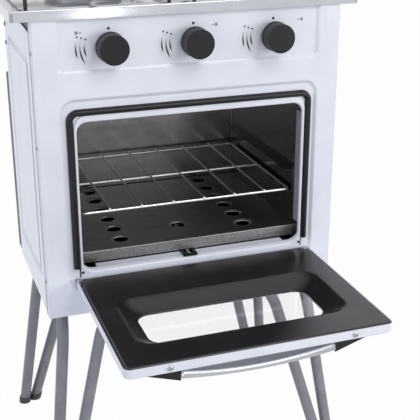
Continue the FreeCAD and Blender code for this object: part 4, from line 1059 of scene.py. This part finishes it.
def make_floor_plate():
    """Plate with a turned-down front and dished holes; its front and the rims of the holes are bare."""
    low, high = span("oven_floor_plate")
    bm = bmesh.new()
    slab(bm, low + Vector((0, 0, FLOOR_LIFT)), high)
    gone = [f for f in bm.faces if abs(f.normal.z) > FACING or f.normal.y > FACING]
    bmesh.ops.delete(bm, geom=gone, context="FACES")
    top = [e for e in bm.edges if all(v.co.z > high.z - CLOSE for v in e.verts)]
    ends = [v for v in bm.verts if v.co.z > high.z - CLOSE and v.co.y > high.y - CLOSE]
    top.append(bm.edges.get(ends) or bm.edges.new(ends))
    spots = [(0, FLOOR_CENTRE_HOLE)]
    for index in range(FLOOR_HOLES):
        for x in (-FLOOR_ROW_X, FLOOR_ROW_X):
            spots.append((x, FLOOR_HOLE_FIRST + index * FLOOR_HOLE_PITCH))
    rims = [ring(bm, FLOOR_HOLE + RIM_BAND, x, y, high.z, HOLE_STEPS) for x, y in spots]
    fill(bm, top, *rims)
    for (x, y), outer in zip(spots, rims):
        loops = [outer]
        for share in RIM_SHARES:
            level = high.z - RIM_DIP * (1 - share) ** 2
            loops.append(ring(bm, FLOOR_HOLE + RIM_BAND * share, x, y, level, HOLE_STEPS))
        bridged(bm, loops)
    face_towards(bm, (0, -1, 1))
    bends = [
        e
        for e in bm.edges
        if all(v.co.z > high.z - CLOSE and v.co.y < low.y + CLOSE for v in e.verts)
    ]
    soften(bm, bends, FLOOR_ROUND)
    for face in bm.faces:
        middle = face.calc_center_median()
        in_front = middle.y < low.y + FLOOR_ROUND
        bare = face.normal.y < -MOSTLY_FACING if in_front else RIM_WORN < high.z - middle.z < RIM_DIP
        face.material_index = int(bare)
    name = "oven_floor_sheet"
    finishes = {"material": FLOOR_STEEL, "extra": (BARE_STEEL,)}
    piece(bm, name, "oven_steel", "stove", "oven_floor_plate", wall=SHEET, **finishes)


def make_rack():
    """A wire frame with thinner bars across it, whose cut ends show in front."""
    low, high = span("oven_rack")
    level = low.z + RACK_WIRE
    half = high.x - RACK_WIRE
    front, rear = low.y + RACK_WIRE, high.y - RACK_WIRE
    bm = bmesh.new()
    corners = [(-half, front), (half, front), (half, rear), (-half, rear)]
    bent_tube(bm, [(x, y, level) for x, y in corners], RACK_BEND, RACK_WIRE, closed=True)
    middle = (front + rear) / 2
    bent_tube(bm, [(-half, middle, level), (half, middle, level)], 0, RACK_WIRE)
    top = level + RACK_WIRE + RACK_BAR / 2
    end = quarter(RACK_NUB, 0, RACK_NUB_LONG - RACK_NUB, 1)
    profile = [(RACK_NUB, 0)] + [(RACK_NUB - inset, rise) for inset, rise in end]
    for index in range(RACK_BARS):
        x = (index - (RACK_BARS - 1) / 2) * RACK_PITCH
        bent_tube(bm, [(x, low.y, top), (x, high.y, top)], 0, RACK_BAR, sides=WIRE_SIDES)
        wires = set(bm.faces)
        turned(bm, profile, (x, low.y + RACK_NUB_LONG / 2, top), axis="y", steps=NUB_STEPS)
        for face in set(bm.faces) - wires:
            face.material_index = 1
    piece(bm, "oven_rack_wires", "chrome_wire", "stove", "oven_rack", extra=(CUT_WIRE,))


def make_gasket():
    """A soft bead round three sides of the opening, with thin tails and hooks at its lower ends."""
    middle = GASKET_HALF - GASKET_BAND / 2
    top = GASKET_HIGH - GASKET_BAND / 2
    rear = span("door_gasket")[1].y
    bm = bmesh.new()
    route = [(-middle, 0, GASKET_LOW), (-middle, 0, top), (middle, 0, top), (middle, 0, GASKET_LOW)]
    bent_tube(bm, route, GASKET_BEND, GASKET_BAND / 2, sides=BEAD_SIDES)
    bmesh.ops.scale(bm, vec=(1, 2 * GASKET_TALL / GASKET_BAND, 1), verts=bm.verts)
    bmesh.ops.translate(bm, vec=(0, rear, 0), verts=bm.verts)
    bead = piece(bm, "door_gasket_strip", "gasket_rubber", "stove", "door_gasket")
    bm = bmesh.new()
    for sign in (-1, 1):
        x = sign * (FRAME_HALF + TAIL_RADIUS)
        tail = [(x, rear - TAIL_RADIUS, z) for z in (GASKET_LOW + TAIL_LAP, TAIL_LOW)]
        bent_tube(bm, tail, 0, TAIL_RADIUS, sides=WIRE_SIDES)
        profile = [(HOOK_RADIUS * across, HOOK_RADIUS * rise) for across, rise in HOOK_SHAPE]
        turned(bm, profile, (sign * HOOK_X, FRAME_FRONT, HOOK_LEVEL), axis="y", steps=SMALL_STEPS)
    ends = piece(bm, "gasket_ends", "gasket_rubber", "stove")
    for soft in (bead, ends):
        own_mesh(soft)


def make_floor_clip():
    """A flat black frame on the shelf, with the plated pin that it holds."""
    low, high = span("floor_clip")
    top = low.z + CLIP_HEIGHT
    left, right = low.x + CLIP_WALL, high.x - CLIP_WALL
    front, rear = low.y + CLIP_WALL, high.y - CLIP_WALL
    bm = bmesh.new()
    strip(bm, low, (left, high.y, top), CLIP_EDGE)
    strip(bm, (right, low.y, low.z), (high.x, high.y, top), CLIP_EDGE)
    strip(bm, low, (high.x, front, top), CLIP_EDGE)
    strip(bm, (low.x, rear, low.z), (high.x, high.y, top), CLIP_EDGE)
    strip(bm, low, (high.x, high.y, low.z + SHEET / 2), CLIP_EDGE)
    piece(bm, "floor_clip_frame", "black_clip", "stove", "floor_clip")
    bm = bmesh.new()
    x = (low.x + high.x) / 2
    level = low.z + CLIP_PIN
    bent_tube(bm, [(x, front - PIN_LAP, level), (x, rear + PIN_LAP, level)], 0, CLIP_PIN, sides=WIRE_SIDES)
    piece(bm, "floor_clip_pin", "zinc", "stove", material=COLLAR_STEEL)


def make_knobs():
    """Round grips with a groove above a skirt, hollow behind."""
    for side in KNOBS:
        low, high = span("knob_" + side)
        centre = (low + high) / 2
        radius = (high.x - low.x) / 2
        height = high.y - low.y
        half_way = KNOB_ROUND * BEND_MIDDLE
        profile = [
            (0, height),
            (radius - KNOB_TAPER - KNOB_ROUND, height),
            (radius - KNOB_TAPER - half_way, height - half_way),
            (radius - KNOB_TAPER, height - KNOB_ROUND),
            (radius - KNOB_GROOVE, KNOB_SKIRT + KNOB_GROOVE * 2),
            (radius - KNOB_GROOVE * 2, KNOB_SKIRT + KNOB_GROOVE),
            (radius - KNOB_GROOVE, KNOB_SKIRT),
            (radius, KNOB_SKIRT - KNOB_GROOVE),
            (radius, KNOB_GROOVE),
            (radius - KNOB_GROOVE, 0),
            (radius * KNOB_MOUTH, 0),
            (radius * KNOB_BORE, height * KNOB_DEPTH),
            (0, height * KNOB_DEPTH),
        ]
        bm = bmesh.new()
        turned(bm, profile, (centre.x, high.y, centre.z), axis="y")
        # Painted light: faces that look sideways take the lighter knob plastic, for the light on the knobs'
        # sides
        for face in bm.faces:
            face.material_index = int(abs(face.normal.y) < MOSTLY_FACING)
        knob = "knob_" + side
        piece(bm, "knob_grip_" + side, "knob_plastic", knob, knob, sharp=30, extra=(KNOB_SIDE_LIGHT_PLASTIC,))


def marked(shapes, name, material):
    """A thin print on the control recess."""
    bmesh.ops.translate(shapes, vec=(0, CONTROL_STEP - MARK_LIFT, 0), verts=shapes.verts)
    face_towards(shapes, (0, -1, 0))
    piece(shapes, name, "white_enamel", "stove", material=material)


def spot(bm, x, z, radius):
    """A small round print."""
    verts = bmesh.ops.create_circle(bm, cap_ends=True, segments=SMALL_STEPS, radius=radius)["verts"]
    bmesh.ops.rotate(bm, cent=(0, 0, 0), matrix=SPIN_TURNS["y"], verts=verts)
    bmesh.ops.translate(bm, vec=(x, 0, z), verts=verts)


def stroke(bm, x, z, radius, start, end):
    """A line round a knob that swells from a point to its full width and back."""
    verts = []
    for side in (-1, 1):
        for step in range(ARC_STEPS + 1):
            share = step / ARC_STEPS
            angle = math.radians(start + (end - start) * share)
            reach = radius + side * ARC_WIDE / 2 * math.sin(math.pi * share ** ARC_LEAN)
            verts.append(bm.verts.new((x + reach * math.cos(angle), 0, z + reach * math.sin(angle))))
    edges = [bm.edges.new(pair) for pair in zip(verts, verts[1:])]
    rails = [edges[:ARC_STEPS], edges[ARC_STEPS + 1:]]
    bmesh.ops.delete(bm, geom=[edges[ARC_STEPS]], context="EDGES")
    bmesh.ops.bridge_loops(bm, edges=rails[0] + rails[1])


def sign_rows(half):
    """Heights between which a burner sign of this half size lies."""
    return (KNOB_LEVEL + SYMBOL_RISE - half, KNOB_LEVEL + SYMBOL_RISE + half)


def make_marks():
    """Index dots, flame-size arcs and burner signs round the knobs."""
    dots = bmesh.new()
    arcs = bmesh.new()
    signs = bmesh.new()
    for index in range(len(KNOBS)):
        x = (index - 1) * KNOB_X
        spot(dots, x, KNOB_LEVEL + DOT_RISE, DOT_RADIUS)
        for radius, sweep in zip(ARC_RADII, ARC_SWEEPS):
            stroke(arcs, x, KNOB_LEVEL, radius, ARC_START, ARC_START + sweep)
            lead = math.radians(ARC_START - BEAD_LEAD)
            spot(arcs, x + radius * math.cos(lead), KNOB_LEVEL + radius * math.sin(lead), BEAD_RADIUS)
        shift = (index - 1) * SYMBOL_SIDE or SYMBOL_SIDE * SYMBOL_NEARER
        for lane in (-1, 1):
            half = SYMBOL_SIZE / 2 if lane == (index - 1 or 1) else SYMBOL_SIZE / 4
            middle = x + shift + lane * (SYMBOL_SIZE + SYMBOL_GAP) / 2
            across = (middle - half, middle + half)
            fill(signs, outline(signs, "xz", across, sign_rows(half), 0, half * SYMBOL_CORNER))
    marked(dots, "index_dots", INK)
    marked(arcs, "flame_arcs", INK)
    marked(signs, "burner_signs", FAINT_INK)


def screw_head(bm, place, axis, sign, scale=1.0):
    """A domed head with a small socket, on its shank."""
    profile = [(0, SCREW_RISE - SOCKET_DEPTH), (SCREW_SOCKET, SCREW_RISE - SOCKET_DEPTH)]
    profile.append((SCREW_SOCKET, SCREW_RISE - SOCKET_EDGE))
    profile += [(SCREW_HEAD * across, SCREW_RISE * rise) for across, rise in SCREW_DOME]
    profile += [(SCREW_SHANK, 0), (SCREW_SHANK, -SCREW_LENGTH), (0, -SCREW_LENGTH)]
    profile = [(scale * radius, sign * scale * height) for radius, height in profile]
    turned(bm, profile, place, axis=axis, steps=SCREW_STEPS)


def make_screws():
    """Plated screws in the door's free edge and dull ones in the cabinet's sides."""
    near = span("door_shell")[0].y
    bm = bmesh.new()
    for sign in (-1, 1):
        screw_head(bm, (sign * DOOR_SCREW_X, near, DOOR_SCREW_LEVEL), "y", 1, DOOR_SCREW_SCALE)
    piece(bm, "door_screw_heads", "zinc", "door", "door_screws", sharp=50)
    bm = bmesh.new()
    side = span("right_side_panel")[1].x
    cover = span("rear_cover")[1].x
    for sign in (-1, 1):
        for level in BODY_SCREW_LEVELS:
            screw_head(bm, (sign * side, BODY_SCREW_Y, level), "x", sign)
        for level in REAR_SCREW_LEVELS:
            screw_head(bm, (sign * side, REAR_SCREW_Y, level), "x", sign)
        for level in COVER_SCREW_LEVELS:
            screw_head(bm, (sign * cover, COVER_SCREW_Y, level), "x", sign)
    piece(bm, "body_screw_heads", "zinc", "stove", "body_screws", sharp=50, material=DULL_ZINC)


def cut_hinge_slots(bm):
    """Two slots in the door's hinge edge, where the brackets reach in."""
    for sign in (-1, 1):
        left, right = sign * HINGE_X - HINGE_SLOT / 2, sign * HINGE_X + HINGE_SLOT / 2
        low = (left, HINGE_SLOT_FRONT, HINGE_SLOT_LOW)
        cut_away(bm, low, (right, HINGE_SLOT_REAR, HINGE_SLOT_HIGH))


def window_outline(bm, share, level):
    """The window's outline part of the way down its slope."""
    inset = WINDOW_SLOPE * share
    return outline(
        bm,
        "xy",
        (inset - WINDOW_HALF, WINDOW_HALF - inset),
        (inset - WINDOW_NEAR, -WINDOW_FAR - inset),
        level,
        WINDOW_CORNER + (PANE_CORNER - WINDOW_CORNER) * share,
    )


def pan_outline(bm, share, level):
    """The door skin's outline part of the way down its sloping border."""
    low, high = span("door_shell")
    side = DOOR_SLOPE * share
    return outline(
        bm,
        "xy",
        (low.x + side, high.x - side),
        (low.y + side, high.y - DOOR_FAR_SLOPE * share),
        level,
        DOOR_CORNER + (DOOR_PAN_CORNER - DOOR_CORNER) * share,
    )


def make_door_shell():
    """White skin: an upright rim, a sloping border and a flat outer face round the window."""
    level = span("door_shell")[0].z
    bm = bmesh.new()
    rim = pan_outline(bm, 0, DOOR_RIM)
    border = pan_outline(bm, 1, level)
    bends = rim + border
    brim = pan_outline(bm, 0, span("door_inner_panel")[1].z - RIM_DROP)
    bridged(bm, [brim, rim, border, window_outline(bm, 1, level)])
    face_towards(bm, (0, 0, -1))
    soften(bm, [edge for edge in bends if edge.is_valid], DOOR_ROUND)
    cut_hinge_slots(bm)
    piece(bm, "door_shell_sheet", "white_enamel", "door", "door_shell", wall=SHEET)


def make_door_lining():
    """Black inner panel, rounded at its edge, whose mouth slopes down to the pane."""
    low, high = span("door_inner_panel")
    bm = bmesh.new()
    steps = [(LINING_INSET, high.z - LINING_SKIRT)]
    steps += quarter(LINING_ROUND, LINING_INSET, high.z - LINING_ROUND, 1)
    loops = [pressed(bm, "xy", (low.x, high.x), (low.y, high.y), LINING_CORNER, steps)[1]]
    depth = high.z - low.z
    for index in range(MOUTH_STEPS):
        share = index / (MOUTH_STEPS - 1)
        sunk = MOUTH_STRAIGHT * share + (1 - MOUTH_STRAIGHT) * ease(share)
        loops.append(window_outline(bm, (1 + MOUTH_LEAD) * share - MOUTH_LEAD, high.z - depth * sunk))
    bridged(bm, loops)
    face_towards(bm, (0, 0, 1))
    cut_hinge_slots(bm)
    piece(bm, "door_lining_sheet", "black_enamel", "door", "door_inner_panel", wall=SHEET)


def make_handle_bar():
    """A bowed bar, thinner in the middle, with a broad rounded edge along its upper front; a painted
    highlight on that edge and painted shade on its top.
    """
    low, high = span("handle_bar")
    middle = (low.z + (high.z - BAR_SAG)) / 2
    under = low.z - middle
    over = -under - BAR_LOWER
    half = high.x
    radius = (half * half + BAR_SAG * BAR_SAG) / (2 * BAR_SAG)
    sweep = math.asin(half / radius)
    bm = bmesh.new()
    corners = [(low.y, under), (high.y, under), (high.y, over), (low.y, over)]
    verts = [bm.verts.new((0, y, middle + z)) for y, z in corners]
    end = bm.faces.new(verts)
    centre = (0, 0, middle + radius)
    bmesh.ops.rotate(bm, cent=centre, matrix=Matrix.Rotation(sweep, 3, "Y"), verts=verts)
    geometry = [end] + list(end.edges) + verts
    bmesh.ops.spin(bm, geom=geometry, cent=centre, axis=(0, 1, 0), angle=-2 * sweep, steps=BAR_STEPS)
    bmesh.ops.recalc_face_normals(bm, faces=bm.faces)
    for vert in bm.verts:
        if vert.co.z > middle + radius - math.sqrt(radius * radius - vert.co.x * vert.co.x):
            vert.co.z -= BAR_WAIST * (1 - (vert.co.x / half) ** 2)
    bm.normal_update()
    long_edges = [e for e in bm.edges if len(e.link_faces) == 2 and e.calc_face_angle(0) > BAR_CORNER]
    long_edges = [e for e in long_edges if abs(e.verts[0].co.x - e.verts[1].co.x) > BAR_LOWER]
    front = [e for e in long_edges if e.verts[0].co.y < low.y + SHEET]
    front_top = [e for e in front if any(f.normal.z > SQUARELY for f in e.link_faces)]
    soften(bm, [e for e in long_edges if e not in front_top], BAR_ROUND)
    soften(bm, [e for e in front_top if e.is_valid], BAR_EDGE, BEND_STEPS)
    # Painted shade on the bar's top faces, a painted highlight on its sloping upper faces
    for face in bm.faces:
        face.material_index = 1 if face.normal.z > BAR_SHADE_FACING else 2 if face.normal.z > BAR_HIGHLIGHT_FACING else 0
    piece(bm, "handle_bow", "handle_metal", "door", "handle_bar", extra=(HANDLE_TOP_SHADE_ALUMINIUM, HANDLE_EDGE_HIGHLIGHT_ALUMINIUM))


def make_handle_caps():
    """Black wedges that taper to a tip at each end of the bar."""
    for side, sign in SIDES:
        low, high = span("handle_cap_" + side)
        tip = low.x if sign < 0 else high.x
        bm = bmesh.new()
        cap = slab(bm, low - Vector((0, 0, CAP_DROP)), high)
        for vert in cap:
            if abs(vert.co.x - tip) < CLOSE and vert.co.z < high.z - CLOSE:
                vert.co.z = high.z - CAP_TIP_DROP
        soften(bm, edges_of(cap), CAP_EDGE, BLOCK_STEPS)
        piece(bm, "handle_end_" + side, "handle_plastic", "door", "handle_cap_" + side)


make_front_panel()
make_side_panels()
make_rear_cover()
make_tray()
make_burner_caps()
make_trivets()
make_collar()
make_liner()
make_floor_plate()
make_rack()
make_gasket()
make_floor_clip()
make_knobs()
make_marks()
make_screws()
make_door_shell()
make_door_lining()
make_handle_bar()
make_handle_caps()

# Stage: pale floor, soft light and the camera
CAMERA_PLACE = (-414.63, -1230.88, 644.70)
CAMERA_TURN = (68.87, 0.0, -19.60)
CAMERA_LENS = 80.43
CAMERA_SENSOR = 36.0
KEY_LAMP = (1.7, -1.9, 1.1)
FILL_LAMP = (-2.1, -0.5, 1.3)
TOP_SOFTBOX = (0.55, -1.6, 2.4)
EDGE_SOFTBOX = ORIGIN + Vector((320.0, -1968.0, -30.0)) * MM
OVEN_MIDDLE = (0, 0, 0.6)
BODY_MIDDLE = (0, 0, 0.7)
TRAY_MIDDLE = ORIGIN + Vector((0, 0, 440)) * MM
FLOOR_REACH = 12.0
FLOOR_GLOW = 0.97
ROOM_LIGHT = 0.4


def seen_directly(tree):
    """1 for rays from the camera, a mirror or through glass, 0 for rays that light the object."""
    path = add(tree, "ShaderNodeLightPath")
    pair = add(
        tree,
        "ShaderNodeMath",
        {0: path.outputs["Is Camera Ray"], 1: path.outputs["Is Glossy Ray"]},
        operation="MAXIMUM",
    )
    joined = {0: pair.outputs[0], 1: path.outputs["Is Transmission Ray"]}
    return add(tree, "ShaderNodeMath", joined, operation="MAXIMUM").outputs[0]


def make_floor():
    """A floor that looks white but keeps the object's shadow and lights it plainly."""
    bm = bmesh.new()
    bmesh.ops.create_grid(bm, x_segments=1, y_segments=1, size=FLOOR_REACH)
    mesh = bpy.data.meshes.new("studio_floor")
    bm.to_mesh(mesh)
    bm.free()
    floor = bpy.data.objects.new("studio_floor", mesh)
    scene.collection.objects.link(floor)
    material, tree, surface = finish("studio_floor", "#f4f4f6", roughness=0.9)
    glow = add(tree, "ShaderNodeEmission", Strength=1.0, Color=linear("#ffffff"))
    share = add(tree, "ShaderNodeMath", {0: seen_directly(tree)}, operation="MULTIPLY")
    share.inputs[1].default_value = FLOOR_GLOW
    blend = add(
        tree,
        "ShaderNodeMixShader",
        {0: share.outputs[0], 1: surface.outputs["BSDF"], 2: glow.outputs["Emission"]},
    )
    tree.links.new(blend.outputs["Shader"], tree.nodes["Material Output"].inputs["Surface"])
    mesh.materials.append(material)


def make_world():
    """A white room that lights the object at a plain level."""
    world = bpy.data.worlds.new("studio_room")
    scene.world = world
    world.use_nodes = True
    tree = world.node_tree
    background = tree.nodes["Background"]
    background.inputs["Color"].default_value = linear("#ffffff")
    level = add(tree, "ShaderNodeMapRange", {"Value": seen_directly(tree)}, To_Min=ROOM_LIGHT, To_Max=1.0)
    tree.links.new(level.outputs["Result"], background.inputs["Strength"])


def make_lamp(name, place, aim, size, power, colour="#ffffff", tall=1.0):
    """An oval softbox of a width in metres and a power in watts."""
    lamp = bpy.data.lights.new(name, "AREA")
    lamp.shape = "ELLIPSE"
    lamp.size = size
    lamp.size_y = size * tall
    lamp.energy = power
    lamp.color = linear(colour)[:3]
    item = bpy.data.objects.new(name, lamp)
    item.location = place
    item.rotation_euler = (Vector(aim) - Vector(place)).to_track_quat("-Z", "Y").to_euler()
    scene.collection.objects.link(item)


def make_camera():
    """The photo's viewpoint and lens."""
    camera = bpy.data.cameras.new("camera")
    camera.lens = CAMERA_LENS
    camera.sensor_width = CAMERA_SENSOR
    item = bpy.data.objects.new("camera", camera)
    item.location = ORIGIN + Vector(CAMERA_PLACE) * MM
    item.rotation_euler = [math.radians(angle) for angle in CAMERA_TURN]
    scene.collection.objects.link(item)
    scene.camera = item


make_floor()
make_world()
make_lamp("key_lamp", KEY_LAMP, OVEN_MIDDLE, size=1.1, power=21)
make_lamp("fill_lamp", FILL_LAMP, OVEN_MIDDLE, size=1.4, power=14, colour="#d8e6ff")
make_lamp("top_softbox", TOP_SOFTBOX, BODY_MIDDLE, size=1.0, power=14)
make_lamp("edge_softbox", EDGE_SOFTBOX, TRAY_MIDDLE, size=0.11, power=0.42, tall=3.8)
make_camera()
scene.view_settings.view_transform = "Standard"
